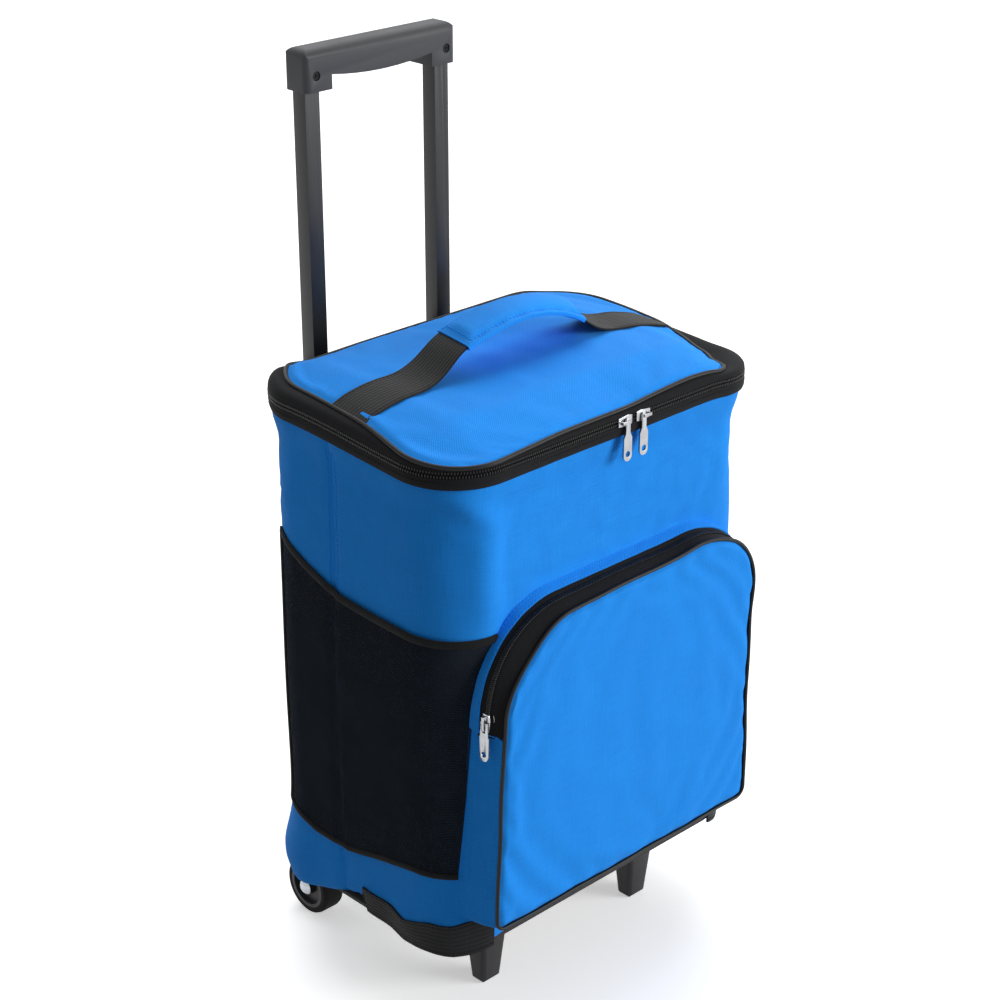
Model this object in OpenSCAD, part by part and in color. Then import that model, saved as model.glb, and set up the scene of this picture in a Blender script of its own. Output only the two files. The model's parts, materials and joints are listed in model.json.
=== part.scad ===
// Soft cooler bag on a two-wheeled trolley: zipped lid, zipped front pocket,
// two mesh side pockets, a carry handle and a telescopic pull handle.
// Millimetres. +Z is up, -Y is the front, -X is the left side seen from the front.
// The origin is on the floor, under the middle of the whole object's box.

/* [Bag] */
// Width of the bag's fabric shell
bag_w = 326; // [300:1:350]
// Depth of the bag's fabric shell
bag_d = 212; // [200:1:230]
// Height of the bag's fabric shell, from its bottom edge to the zip band
bag_h = 383; // [370:1:400]
// Corner radius of the bag in plan
bag_r = 45; // [40:1:50]
// Height of the bag's bottom edge above the floor
bag_floor = 74; // [70:1:80]
// Thickness of the outer fabric
fabric_t = 1.2; // [0.8:0.1:1.6]
// Thickness of the foam insulation
foam_t = 8; // [6:0.5:9]
// Thickness of the foil liner
liner_t = 0.8; // [0.6:0.1:1]
// Thickness of the stiff board inside the bottom
board_t = 2.8; // [2:0.2:4]
// Distance of the side seams behind the bag's middle
seam_y = 18; // [0:1:30]

/* [Lid] */
// How far the zip band stands out from the shell
rim_overhang = 7; // [6:0.5:8]
// Height of each zip tape
tape_h = 9.8; // [9:0.1:11]
// Thickness of a zip tape
tape_t = 1.5; // [1.2:0.1:1.8]
// Height of each row of zip teeth
coil_h = 2; // [1.6:0.1:2.4]
// Depth of the zip teeth
coil_t = 2.5; // [2.2:0.1:2.8]
// Gap between the two rows of teeth
chain_gap = 1.4; // [1.4:0.1:1.8]
// Radius of the piping round the lid
piping_r = 1.75; // [1.5:0.05:2]
// Rise of the lid's dome above its edge
lid_rise = 14; // [10:1:18]

/* [Carry handle] */
// Width of the webbing
webbing_w = 38; // [30:1:42]
// Thickness of the webbing
webbing_t = 1.8; // [1.4:0.1:2]
// Half of the arch's span
arch_half = 93; // [85:1:100]
// Distance of the arch's middle to the right of the bag's middle
arch_x = 10; // [-10:1:12]
// Height of the arch's top above the zip band
arch_rise = 48; // [40:1:50]
// Thickness of the padded sleeve
sleeve_t = 9; // [7:0.5:10]

/* [Front pocket] */
// How far the pocket's sides lie inside the bag's sides
pocket_in = 17; // [17:1:24]
// Depth of the pocket
pocket_depth = 25; // [24:1:30]
// Height of the pocket's bottom above the bag's bottom
pocket_lift = 25; // [25:1:30]
// Height of the pocket
pocket_h = 261; // [240:1:280]
// Radius of the pocket's top corners at the bag
pocket_r = 81; // [70:1:90]
// How far the pocket's zip stands inside its outline
pocket_inset = 6.5; // [5:0.5:8]

/* [Mesh side pockets] */
// Height of the mesh pocket's bottom above the bag's bottom
mesh_lift = 56; // [54:1:70]
// Height of the mesh
mesh_h = 222; // [180:1:240]
// Thickness of the mesh
mesh_t = 1.2; // [0.8:0.1:1.4]
// Gap between the mesh and the bag
mesh_gap = 5.3; // [5:0.1:6]

/* [Trolley] */
// Diameter of a wheel
wheel_d = 49; // [45:1:52]
// Width of a wheel
wheel_w = 20; // [18:1:22]
// How far a wheel's middle plane lies inside the end of the base plate
wheel_in = 20; // [17:1:24]
// Distance of the axle behind the base plate's rear edge
axle_out = 21; // [16:1:24]
// Diameter of the axle
axle_d = 6; // [5:1:7]
// How far the base plate's ends lie inside the bag
plate_in_x = 23; // [18:1:28]
// How far the base plate's long edges lie inside the bag
plate_in_y = 18; // [15:1:22]
// Distance of a foot's middle from the end of the base plate
foot_in_x = 55; // [45:1:65]
// Distance of a foot's middle from the base plate's front edge
foot_in_y = 29; // [25:1:35]

/* [Pull handle] */
// Side of the sliding square tube
tube_side = 14; // [13:0.5:15]
// Side of the fixed square tube
socket_side = 18; // [18:0.5:19]
// Wall of both tubes
tube_wall = 1.2; // [1:0.1:1.3]
// Distance of a tube from the bag's middle, sideways
tube_x = 65; // [60:1:66]
// Distance of the tubes behind the bag's back
tube_out = 46; // [44:1:48]
// Height of the grip's lower edge above the zip band, with the handle pulled out
grip_out = 194; // [150:1:200]
// How far the grip reaches past the middle of each tube
grip_over = 10; // [9:0.5:12]
// Depth of the grip
grip_d = 26; // [24:1:28]
// Height of the grip
grip_h = 32; // [30:1:34]

/* [Zip sliders] */
// Distance of the left lid slider's pull pin from the bag's middle
slider_left_x = 4; // [0:1:5]
// Distance of the right lid slider's pull pin from the bag's middle
slider_right_x = 21; // [21:1:30]
// Length of a pull from its pin to its tip
pull_l = 31; // [28:1:32]

/* [Hidden] */
$fn = 64;

black = [0.05, 0.05, 0.055];
dark_grey = [0.16, 0.16, 0.17];
bag_blue = [0.08, 0.42, 0.85];
zip_silver = [0.75, 0.76, 0.78];
foil = [0.82, 0.83, 0.84];
foam_white = [0.93, 0.93, 0.9];

// Clearances: past a cut, between a sliding tube and its guide, on a pin, beside the zip
cut = 1;
slide_gap = 0.1;
pin_gap = 0.1;
bore_gap = 0.05;
zip_gap = 0.3;
// A distance that reaches past every shape, for planes that keep one side of it
reach = 1000;

// Levels of the bag and its zip band
bag_top = bag_floor + bag_h;
edge_t = 1.2;
lid_edge = 1.8;
chain_h = 2 * coil_h + chain_gap;
chain_z = bag_top + tape_h;
split_z = chain_z + chain_h / 2;
upper_tape_z = chain_z + chain_h;
rim_top = upper_tape_z + tape_h;
inner_wall = fabric_t + foam_t + liner_t;
lid_inset = 14;
lid_edge_z = rim_top + lid_edge;

// Levels and outline of the front pocket
pocket_z0 = bag_floor + pocket_lift;
pocket_z1 = pocket_z0 + pocket_h;
pocket_bottom_r = 14;
pocket_front = -bag_d / 2 - pocket_depth;
pocket_half = bag_w / 2 - pocket_in;
pocket_root = 6;
pocket_tape_h = 3.3;
pocket_tape_y = -bag_d / 2 - pocket_root;
pocket_chain_y = pocket_tape_y - pocket_tape_h;
pocket_panel_y = pocket_chain_y - chain_h - pocket_tape_h;
pocket_corner_z = pocket_z1 - pocket_r;
zip_left_drop = 9;
zip_right_rise = 31;
zip_end_left_z = pocket_corner_z - zip_left_drop;
zip_end_right_z = pocket_z0 + zip_right_rise;
pocket_piping_r = 1.5;
panel_t = 2;

// Trolley
plate_w = bag_w - 2 * plate_in_x;
plate_d = bag_d - 2 * plate_in_y;
plate_t = 4;
plate_r = 30;
plate_rim = 3;
plate_z = bag_floor - plate_t;
wheel_r = wheel_d / 2;
wheel_x = plate_w / 2 - wheel_in;
axle_r = axle_d / 2;
axle_y = plate_d / 2 + axle_out;
tyre_t = 5.5;
hub_r = wheel_r - tyre_t;
foot_x = plate_w / 2 - foot_in_x;
foot_y = plate_d / 2 - foot_in_y;
flange_t = 4;
flange_z = plate_z - flange_t;
back_board_t = 2;
back_y = bag_d / 2 + back_board_t;
wheel_side_gap = 0.5;
bracket_x = wheel_x - wheel_w / 2 - wheel_side_gap;
bracket_t = 8;
bracket_boss_r = 9;
bracket_flange_x = -wheel_x - 2;
bracket_flange_w = 32;
tube_y = bag_d / 2 + tube_out;
tongue_half = 55;
tongue_in = 28;
tongue_slot = 14;
shoe_drop = 6;
shoe_rise = 26;
shoe_base = 4;
shoe_z0 = flange_z - shoe_drop;
shoe_z1 = bag_floor + shoe_rise;
collar_h = 26;
collar_z1 = bag_top - 1;
collar_z0 = collar_z1 - collar_h;
collar_lip = 10;
carrier_over = 21;
carrier_wall = 4;
carrier_half = tube_x + carrier_over;
carrier_front = tube_y - 13;
carrier_back = tube_y + socket_side / 2 + carrier_wall;
web_w = 14;
screw_r = 1.5;
screw_head_r = 3.2;
screw_head_h = 1.6;
screw_gap = 0.1;

// Pull handle, pulled out
grip_l = 2 * (tube_x + grip_over);
grip_z = rim_top + grip_out;
grip_hold = 14;
tube_top = grip_z + grip_hold;
stop_gap = 0.3;
tube_bottom = collar_z1 - collar_lip - stop_gap;
plug_h = 30;
plug_stem = 12;
block_w = 25;
grip_screw_z = grip_z + 12;
grip_screw_sink = 2.6;

// Zip sliders
slider_l = 14;
slider_half = 4.4;
slider_neck = 3.2;
slider_plate_t = 1.2;
slider_back_t = 1;
post_l = 2.4;
post_t = 0.8;
pull_pin_r = 0.9;
pull_t = 1.6;
pull_half = 4.2;
pull_neck = 2.2;
pull_hole_r = 2.3;
pull_hole_z = pull_l - pull_half - 1.4;

// Puts the middle of the whole object's box at y = 0
shift_y = -(pocket_front + tube_y + grip_d / 2) / 2;

module in_frame() translate([0, shift_y, 0]) children();

// Shapes are made for the left side, and mirrored for the right
module on_side(side) {
    in_frame()
        if (side < 0) children();
        else mirror([1, 0, 0]) children();
}

module both_sides() {
    children();
    mirror([1, 0, 0]) children();
}

module rounded_rect(w, d, r) {
    square([w - 2 * r, d], center = true);
    square([w, d - 2 * r], center = true);
    for (x = [-1, 1], y = [-1, 1])
        translate([x * (w / 2 - r), y * (d / 2 - r)]) circle(r);
}

module slab(w, d, r, z0, z1) translate([0, 0, z0]) linear_extrude(z1 - z0) rounded_rect(w, d, r);

// The bag's outline, grown outwards
module bag_slab(grow, z0, z1) slab(bag_w + 2 * grow, bag_d + 2 * grow, bag_r + grow, z0, z1);

// A wall that follows the bag's outline
module ring(outer, inner, z0, z1) difference() {
    bag_slab(outer, z0, z1);
    bag_slab(inner, z0 - cut, z1 + cut);
}

// Keeps what lies between the given planes
module between(x0, x1, y0, y1, z0 = -reach, z1 = reach) intersection() {
    union() children();
    translate([x0, y0, z0]) cube([x1 - x0, y1 - y0, z1 - z0]);
}

// An outline in X and Z, extruded along Y
module xz_prism(y0, y1) translate([0, y1, 0]) rotate([90, 0, 0]) linear_extrude(y1 - y0) children();

// An outline in Y and Z, extruded along X
module yz_prism(x0, x1) translate([x0, 0, 0]) rotate([90, 0, 90]) linear_extrude(x1 - x0) children();

// ---- Trolley ----

// Where a screw goes through the base plate: two for each foot, bracket and end of the shoe
foot_screw_y = 16.6;
bracket_screw_x = wheel_x - 24;
bracket_screw_in = [10, 25];
shoe_screw_x = 40;
shoe_screw_in = 18;
plate_screws = concat(
    [for (x = [-foot_x, foot_x], y = [-foot_screw_y, foot_screw_y]) [x, -foot_y + y]],
    [for (x = [-bracket_screw_x, bracket_screw_x], y = bracket_screw_in) [x, plate_d / 2 - y]],
    [for (x = [-shoe_screw_x, shoe_screw_x]) [x, plate_d / 2 - shoe_screw_in]]);

module screw_holes(r) {
    for (p = plate_screws)
        translate([p.x, p.y, flange_z - cut]) cylinder(r = r, h = plate_t + flange_t + 2 * cut);
}

module base_plate() color(black) in_frame() difference() {
    union() {
        slab(plate_w, plate_d, plate_r, plate_z, bag_floor);
        difference() {
            slab(plate_w, plate_d, plate_r, flange_z, plate_z);
            slab(plate_w - 2 * plate_rim, plate_d - 2 * plate_rim, plate_r - plate_rim,
                 flange_z - cut, plate_z + cut);
        }
    }
    screw_holes(screw_r);
    // The brackets and the shoe reach out under the rear edge
    translate([-tongue_half, plate_d / 2 - tongue_slot, flange_z - cut])
        cube([2 * tongue_half, tongue_slot + cut, flange_t + cut]);
    both_sides() translate([bracket_flange_x, plate_d / 2 - tongue_slot, flange_z - cut])
        cube([bracket_flange_w, tongue_slot + cut, flange_t + cut]);
}

foot_top_w = 30;
foot_top_d = 26;
foot_w = 20;
foot_d = 15;
foot_edge = 2.5;
foot_flange_w = 42;
foot_flange_d = 40;
foot_flange_r = 6;

// Half of a tapered profile with a small chamfer at the sole
function taper(bottom, top, h) = [
    [-bottom / 2 + foot_edge, 0], [bottom / 2 - foot_edge, 0], [bottom / 2, foot_edge],
    [top / 2, h], [-top / 2, h], [-bottom / 2, foot_edge]];

module foot(side) color(black) on_side(side) difference() {
    union() {
        translate([-foot_x, -foot_y, 0]) intersection() {
            xz_prism(-foot_top_d, foot_top_d) polygon(taper(foot_w, foot_top_w, flange_z));
            yz_prism(-foot_top_w, foot_top_w) polygon(taper(foot_d, foot_top_d, flange_z));
        }
        translate([-foot_x, -foot_y, 0])
            slab(foot_flange_w, foot_flange_d, foot_flange_r, flange_z, plate_z);
    }
    screw_holes(screw_r + screw_gap);
}
module foot_left() foot(-1);
module foot_right() foot(1);

bracket_in = 30;
bracket_out = 4;
web_in = 26;
web_past_axle = 12;
boss_drop = 2;
web_front = plate_d / 2 - web_in;
web_back = axle_y + web_past_axle;

module wheel_bracket(side) color(black) on_side(side) difference() {
    union() {
        translate([bracket_flange_x, plate_d / 2 - bracket_in, flange_z])
            cube([bracket_flange_w, bracket_in + bracket_out, flange_t]);
        yz_prism(-bracket_x, -bracket_x + bracket_t) {
            polygon([[web_front, flange_z + cut], [web_back, flange_z + cut],
                     [axle_y + bracket_boss_r, wheel_r], [axle_y - bracket_boss_r, wheel_r - boss_drop]]);
            translate([axle_y, wheel_r]) circle(bracket_boss_r);
        }
    }
    translate([-reach, axle_y, wheel_r]) rotate([0, 90, 0]) cylinder(r = axle_r, h = reach);
    screw_holes(screw_r + screw_gap);
}
module wheel_bracket_left() wheel_bracket(-1);
module wheel_bracket_right() wheel_bracket(1);

cap_r = 6.6;
cap_gap = 0.4;
cap_rim = 1;
cap_rise = 3.2;
cap_socket = 3;
axle_half = wheel_x + wheel_w / 2 + cap_socket;

module axle() color(zip_silver) in_frame()
    translate([-axle_half, axle_y, wheel_r]) rotate([0, 90, 0]) cylinder(r = axle_r, h = 2 * axle_half);

// A ring turned about the axle: radii, and distances from the wheel's middle plane, outwards
module turned(profile) translate([-wheel_x, axle_y, wheel_r]) rotate([0, -90, 0])
    rotate_extrude() polygon(profile);

hub_rim = 3;
hub_boss_r = axle_r + 4;
hub_dish = 4;
hub_draft = 0.6;

module wheel_hub(side) color(dark_grey) on_side(side) turned([
    [axle_r + bore_gap, -wheel_w / 2], [hub_r, -wheel_w / 2], [hub_r, wheel_w / 2],
    [hub_r - hub_rim, wheel_w / 2], [hub_r - hub_rim - hub_draft, wheel_w / 2 - hub_dish],
    [hub_boss_r + hub_draft, wheel_w / 2 - hub_dish], [hub_boss_r, wheel_w / 2],
    [axle_r + bore_gap, wheel_w / 2]]);
module wheel_hub_left() wheel_hub(-1);
module wheel_hub_right() wheel_hub(1);

// The tyre's rounded shoulder: how far in from the tread, and from the side
shoulder = [[2, 0], [0.6, 1], [0, 3]];

module tyre(side) color(black) on_side(side) turned(concat(
    [[hub_r, -wheel_w / 2]],
    [for (s = shoulder) [wheel_r - s[0], -wheel_w / 2 + s[1]]],
    [for (i = [len(shoulder) - 1 : -1 : 0]) [wheel_r - shoulder[i][0], wheel_w / 2 - shoulder[i][1]]],
    [[hub_r, wheel_w / 2]]));
module tyre_left() tyre(-1);
module tyre_right() tyre(1);

module axle_cap(side) color(zip_silver) on_side(side)
    translate([-wheel_x - wheel_w / 2 - cap_gap, axle_y, wheel_r]) rotate([0, -90, 0]) {
        ball_r = (cap_r * cap_r + cap_rise * cap_rise) / (2 * cap_rise);
        difference() {
            union() {
                cylinder(r = cap_r, h = cap_rim);
                intersection() {
                    translate([0, 0, cap_rim + cap_rise - ball_r]) sphere(ball_r, $fn = 128);
                    translate([0, 0, cap_rim]) cylinder(r = cap_r, h = cap_rise + cut);
                }
            }
            translate([0, 0, -cut]) cylinder(r = axle_r, h = cap_socket - cap_gap + cut);
        }
    }
module axle_cap_left() axle_cap(-1);
module axle_cap_right() axle_cap(1);

// A square tube, or a square hole, standing on a tube's place
module upright(side, z0, z1) translate([-tube_x - side / 2, tube_y - side / 2, z0])
    cube([side, side, z1 - z0]);

module outer_tube(side) color(dark_grey) on_side(side) difference() {
    upright(socket_side, shoe_z0 + shoe_base, collar_z1 - collar_lip);
    upright(socket_side - 2 * tube_wall, shoe_z0, collar_z1);
}
module outer_tube_left() outer_tube(-1);
module outer_tube_right() outer_tube(1);

// A carrier joins both tubes to the bag's back: a bar, two webs and a front plate
module carrier(z0, z1) {
    translate([-carrier_half, carrier_front, z0])
        cube([2 * carrier_half, carrier_back - carrier_front, z1 - z0]);
    for (x = [-tube_x, tube_x])
        translate([x - web_w / 2, back_y, z0]) cube([web_w, tube_y - back_y, z1 - z0]);
    translate([-carrier_half, back_y, z0]) cube([2 * carrier_half, carrier_wall, z1 - z0]);
}

module tube_shoe() color(black) in_frame() difference() {
    union() {
        carrier(shoe_z0, shoe_z1);
        translate([-tongue_half, plate_d / 2 - tongue_in, flange_z])
            cube([2 * tongue_half, back_y - plate_d / 2 + tongue_in + cut, flange_t]);
    }
    both_sides() upright(socket_side, shoe_z0 + shoe_base, shoe_z1 + cut);
    screw_holes(screw_r + screw_gap);
}

collar_screw_z = collar_z0 + collar_h / 2;
collar_screw_x = 30;

module collar_screw_holes(r) {
    for (x = [-collar_screw_x, collar_screw_x])
        translate([x, bag_d / 2 - cut, collar_screw_z]) rotate([-90, 0, 0]) cylinder(r = r, h = 10);
}

module tube_collar() color(black) in_frame() difference() {
    carrier(collar_z0, collar_z1);
    both_sides() {
        upright(socket_side, collar_z0 - cut, collar_z1 - collar_lip);
        upright(tube_side + 2 * slide_gap, collar_z0, collar_z1 + cut);
    }
    collar_screw_holes(screw_r + screw_gap);
}

module back_board() color(black) in_frame() difference() {
    translate([-carrier_half, bag_d / 2, bag_floor])
        cube([2 * carrier_half, back_board_t, collar_z1 - bag_floor]);
    collar_screw_holes(screw_r);
}

slot_l = 4;
slot_w = 0.8;
slot_deep = 1;

// A cross-head screw, its head at z <= 0 and its shank upwards
module screw(shank) difference() {
    union() {
        translate([0, 0, -screw_head_h]) cylinder(r = screw_head_r, h = screw_head_h);
        cylinder(r = screw_r, h = shank);
    }
    for (a = [0, 90])
        rotate(a) translate([-slot_l / 2, -slot_w / 2, -screw_head_h - cut])
            cube([slot_l, slot_w, slot_deep + cut]);
}

module frame_screws() color(zip_silver) in_frame() {
    for (p = plate_screws) translate([p.x, p.y, flange_z]) screw(plate_t + flange_t);
    for (x = [-collar_screw_x, collar_screw_x])
        translate([x, back_y + carrier_wall, collar_screw_z]) rotate([90, 0, 0])
            screw(carrier_wall + back_board_t);
}

// The fabric sleeve round the tubes lies a little inside the carriers
sleeve_in = 1;
sleeve_deep = carrier_back - 2 * sleeve_in - back_y;
sleeve_r = 12;

module sleeve_slab(inset, past) slab(2 * (carrier_half - sleeve_in - inset), 2 * (sleeve_deep - inset),
                                     sleeve_r - inset, shoe_z1 - past, collar_z0 + past);

module trolley_sleeve() color(black) in_frame() translate([0, back_y, 0]) difference() {
    between(-reach, reach, 0, reach) sleeve_slab(0, 0);
    sleeve_slab(tape_t, cut);
}

// ---- Pull handle ----

module inner_tube(side) color(black) on_side(side) difference() {
    upright(tube_side, tube_bottom, tube_top);
    upright(tube_side - 2 * tube_wall, tube_bottom - cut, tube_top + cut);
    translate([-tube_x, tube_y, grip_screw_z]) rotate([90, 0, 0]) cylinder(r = screw_r, h = tube_side);
}
module inner_tube_left() inner_tube(-1);
module inner_tube_right() inner_tube(1);

module tube_plugs() color(dark_grey) in_frame() both_sides() {
    upright(socket_side - 2 * tube_wall - 2 * slide_gap, tube_bottom - plug_h, tube_bottom);
    upright(tube_side - 2 * tube_wall, tube_bottom - cut, tube_bottom + plug_stem);
}

bar_z = grip_z + 11;
bar_end_r = 8;
bar_top_r = 9;
grip_edge_r = 5;
bow_drop = 4;
bow_half = grip_l / 2 - block_w;

// The grip seen from the front: two blocks, a bar and a bow under the bar
module grip_profile() {
    bow_r = (bow_half * bow_half + bow_drop * bow_drop) / (2 * bow_drop);
    difference() {
        translate([0, grip_z + grip_h / 2]) rounded_rect(grip_l, grip_h, bar_end_r);
        translate([-bow_half, grip_z - cut]) square([2 * bow_half, bar_z - grip_z + cut]);
    }
    for (x = [-1, 1])
        translate([x * (grip_l - block_w) / 2 - block_w / 2, grip_z]) square([block_w, bar_z - grip_z + cut]);
    intersection() {
        translate([0, bar_z - bow_drop + bow_r]) circle(bow_r, $fn = 360);
        translate([-bow_half, grip_z]) square([2 * bow_half, bar_z - grip_z + cut]);
    }
}

module grip() color(dark_grey) in_frame() difference() {
    intersection() {
        xz_prism(tube_y - grip_d / 2, tube_y + grip_d / 2) grip_profile();
        translate([0, tube_y, 0]) slab(grip_l, grip_d, grip_edge_r, grip_z - cut, grip_z + grip_h + cut);
        yz_prism(-grip_l, grip_l) translate([tube_y, grip_z]) {
            square([grip_d, 2 * (grip_h - bar_top_r)], center = true);
            translate([0, grip_h / 2]) rounded_rect(grip_d, grip_h, bar_top_r);
        }
    }
    both_sides() {
        upright(tube_side, grip_z - cut, tube_top);
        translate([-tube_x, tube_y, grip_screw_z]) rotate([90, 0, 0]) {
            cylinder(r = screw_r + screw_gap, h = grip_d);
            translate([0, 0, grip_d / 2 - grip_screw_sink])
                cylinder(r = screw_head_r + 4 * screw_gap, h = grip_screw_sink + cut);
        }
    }
}

module grip_screws() color(black) in_frame()
    for (x = [-tube_x, tube_x])
        translate([x, tube_y - grip_d / 2 + grip_screw_sink, grip_screw_z]) rotate([-90, 0, 0])
            screw(grip_d / 2 - grip_screw_sink - tube_side / 2 + tube_wall);

// ---- Bag ----

module bottom_panel() color(black) in_frame() bag_slab(-fabric_t, bag_floor, bag_floor + fabric_t);

module base_board() color(dark_grey) in_frame()
    bag_slab(-fabric_t, bag_floor + fabric_t, bag_floor + fabric_t + board_t);

module front_wrap() color(bag_blue) in_frame()
    between(-reach, reach, -reach, seam_y) ring(0, -fabric_t, bag_floor, bag_top);

module back_wrap() color(bag_blue) in_frame()
    between(-reach, reach, seam_y, reach) ring(0, -fabric_t, bag_floor, bag_top);

foam_z = bag_floor + fabric_t + board_t;
liner_z = foam_z + foam_t;

module insulation() color(foam_white) in_frame() {
    ring(-fabric_t, -fabric_t - foam_t, foam_z, bag_top);
    bag_slab(-fabric_t - foam_t, foam_z, liner_z);
}

module liner() color(foil) in_frame() {
    ring(-fabric_t - foam_t, -inner_wall, liner_z, bag_top);
    bag_slab(-inner_wall, liner_z, liner_z + liner_t);
}

module lower_zip_tape() color(black) in_frame() {
    ring(rim_overhang, -inner_wall, bag_top, bag_top + edge_t);
    ring(rim_overhang, rim_overhang - tape_t, bag_top + edge_t, chain_z);
}

module lower_zip_coil() color(black) in_frame()
    ring(rim_overhang, rim_overhang - coil_t, chain_z, chain_z + coil_h);

strip_z = bag_top + 2;

module hinge_strip() color(black) in_frame()
    translate([-bag_w / 2 + bag_r, bag_d / 2 + rim_overhang, strip_z])
        cube([bag_w - 2 * bag_r, edge_t, split_z - strip_z - zip_gap]);

// ---- Lid ----

module upper_zip_tape() color(black) in_frame() {
    ring(rim_overhang, rim_overhang - tape_t, upper_tape_z, rim_top - edge_t);
    ring(rim_overhang, rim_overhang - lid_inset, rim_top - edge_t, rim_top);
}

module upper_zip_coil() color(black) in_frame()
    ring(rim_overhang, rim_overhang - coil_t, upper_tape_z - coil_h, upper_tape_z);

// A round cord that follows a rounded rectangle, its path w by d with corner radius r
module cord_loop(w, d, r, cord_r) {
    for (x = [-1, 1]) {
        translate([x * w / 2, 0, 0]) rotate([90, 0, 0]) cylinder(r = cord_r, h = d - 2 * r, center = true);
        translate([0, x * d / 2, 0]) rotate([0, 90, 0]) cylinder(r = cord_r, h = w - 2 * r, center = true);
    }
    for (a = [0 : 90 : 270])
        translate([(a == 0 || a == 270 ? 1 : -1) * (w / 2 - r), (a < 180 ? 1 : -1) * (d / 2 - r), 0])
            rotate(a) rotate_extrude(angle = 90) translate([r, 0]) circle(cord_r, $fn = 32);
}

module lid_piping() color(black) in_frame() {
    grow = rim_overhang - piping_r;
    translate([0, 0, rim_top + piping_r])
        cord_loop(bag_w + 2 * grow, bag_d + 2 * grow, bag_r + grow, piping_r);
}

lid_grow = rim_overhang - 2 * piping_r;

// A pillow: a prism under two crossed cylinders, raised by up
module pillow(grow, z0, up) {
    w = bag_w / 2 + lid_grow;
    d = bag_d / 2 + lid_grow;
    r_across = (w * w + lid_rise * lid_rise) / (2 * lid_rise);
    r_along = (d * d + lid_rise * lid_rise) / (2 * lid_rise);
    top = lid_edge_z + lid_rise + up;
    intersection() {
        bag_slab(grow, z0, top + cut);
        translate([0, 0, top - r_across]) rotate([90, 0, 0])
            cylinder(r = r_across, h = 2 * bag_d, center = true, $fn = 720);
        translate([0, 0, top - r_along]) rotate([0, 90, 0])
            cylinder(r = r_along, h = 2 * bag_w, center = true, $fn = 360);
    }
}

module lid_panel() color(bag_blue) in_frame() difference() {
    pillow(lid_grow, rim_top, 0);
    pillow(lid_grow + cut, bag_top, -fabric_t);
}

foam_lift = 2;
lid_foam_z = upper_tape_z + foam_lift;

module lid_foam() color(foam_white) in_frame()
    pillow(rim_overhang - lid_inset, lid_foam_z, -fabric_t);

module lid_liner() color(foil) in_frame()
    bag_slab(rim_overhang - lid_inset, lid_foam_z - edge_t, lid_foam_z);

arch_top = rim_top + arch_rise;
arch_sink = 4;
arch_foot = lid_edge_z + lid_rise - arch_sink;
arch_r = (arch_half * arch_half + pow(arch_top - arch_foot, 2)) / (2 * (arch_top - arch_foot));
webbing_end = bag_w / 2 - 3;

// A curved band between two radii of the arch, w wide
module arch_band(outer, inner, w) difference() {
    translate([arch_x, w / 2, arch_top - arch_r]) rotate([90, 0, 0]) difference() {
        cylinder(r = outer, h = w, $fn = 360);
        translate([0, 0, -cut]) cylinder(r = inner, h = w + 2 * cut, $fn = 360);
    }
    translate([-reach, -reach, -reach]) cube([2 * reach, 2 * reach, reach + arch_foot - arch_sink - 2]);
}

// Webbing sewn flat on the lid, from x0 to x1
module flat_webbing(x0, x1) between(x0, x1, -webbing_w / 2, webbing_w / 2) difference() {
    pillow(lid_grow, rim_top, webbing_t);
    pillow(lid_grow + cut, bag_top, 0);
}

// How far the sewn webbing runs under the arch's ends
webbing_lap = 4;

module carry_webbing() color(black) in_frame() {
    flat_webbing(-webbing_end, arch_x - arch_half + webbing_lap);
    flat_webbing(arch_x + arch_half - webbing_lap, webbing_end);
    difference() {
        arch_band(arch_r, arch_r - webbing_t, webbing_w);
        pillow(lid_grow + cut, bag_top, 0);
    }
}

// The padded sleeve: how far its ends lie inside the arch's, its overhang, and its share over the webbing
sleeve_end_left = 16;
sleeve_end_right = 18;
sleeve_over = 2;
sleeve_above = 0.4;

module carry_sleeve() color(bag_blue) in_frame()
    between(arch_x - arch_half + sleeve_end_left, arch_x + arch_half - sleeve_end_right, -reach, reach)
        difference() {
            arch_band(arch_r + sleeve_above * sleeve_t, arch_r - (1 - sleeve_above) * sleeve_t,
                      webbing_w + 2 * sleeve_over);
            arch_band(arch_r, arch_r - webbing_t, webbing_w);
        }

// ---- Zip sliders and pulls ----
// A slider's own frame: the zip runs along X, its outer face is y = 0 and -Y is outwards.

module slider_plate(y0, y1) xz_prism(y0, y1)
    polygon([[-slider_l / 2, -slider_neck], [slider_l / 2 - slider_half, -slider_half],
             [slider_l / 2, -slider_half + 1], [slider_l / 2, slider_half - 1],
             [slider_l / 2 - slider_half, slider_half], [-slider_l / 2, slider_neck]]);

// How far pieces of a slider run into each other
slider_fuse = 0.2;

// The two plates and the post between the rows of teeth, at the slider's nose
module slider_body() {
    back = coil_t + zip_gap + slider_fuse;
    slider_plate(-zip_gap - slider_plate_t, -zip_gap);
    slider_plate(back, back + slider_back_t);
    translate([slider_l / 2 - post_l - slider_fuse, -zip_gap - slider_fuse, -post_t / 2])
        cube([post_l, back + zip_gap + 2 * slider_fuse, post_t]);
}

bail_in = zip_gap + slider_plate_t + 2 * zip_gap + pull_t + zip_gap;
bail_t = 0.9;
bail_w = 2.2;
bail_leg = 1.2;
pin_to_leg = 6;

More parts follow.
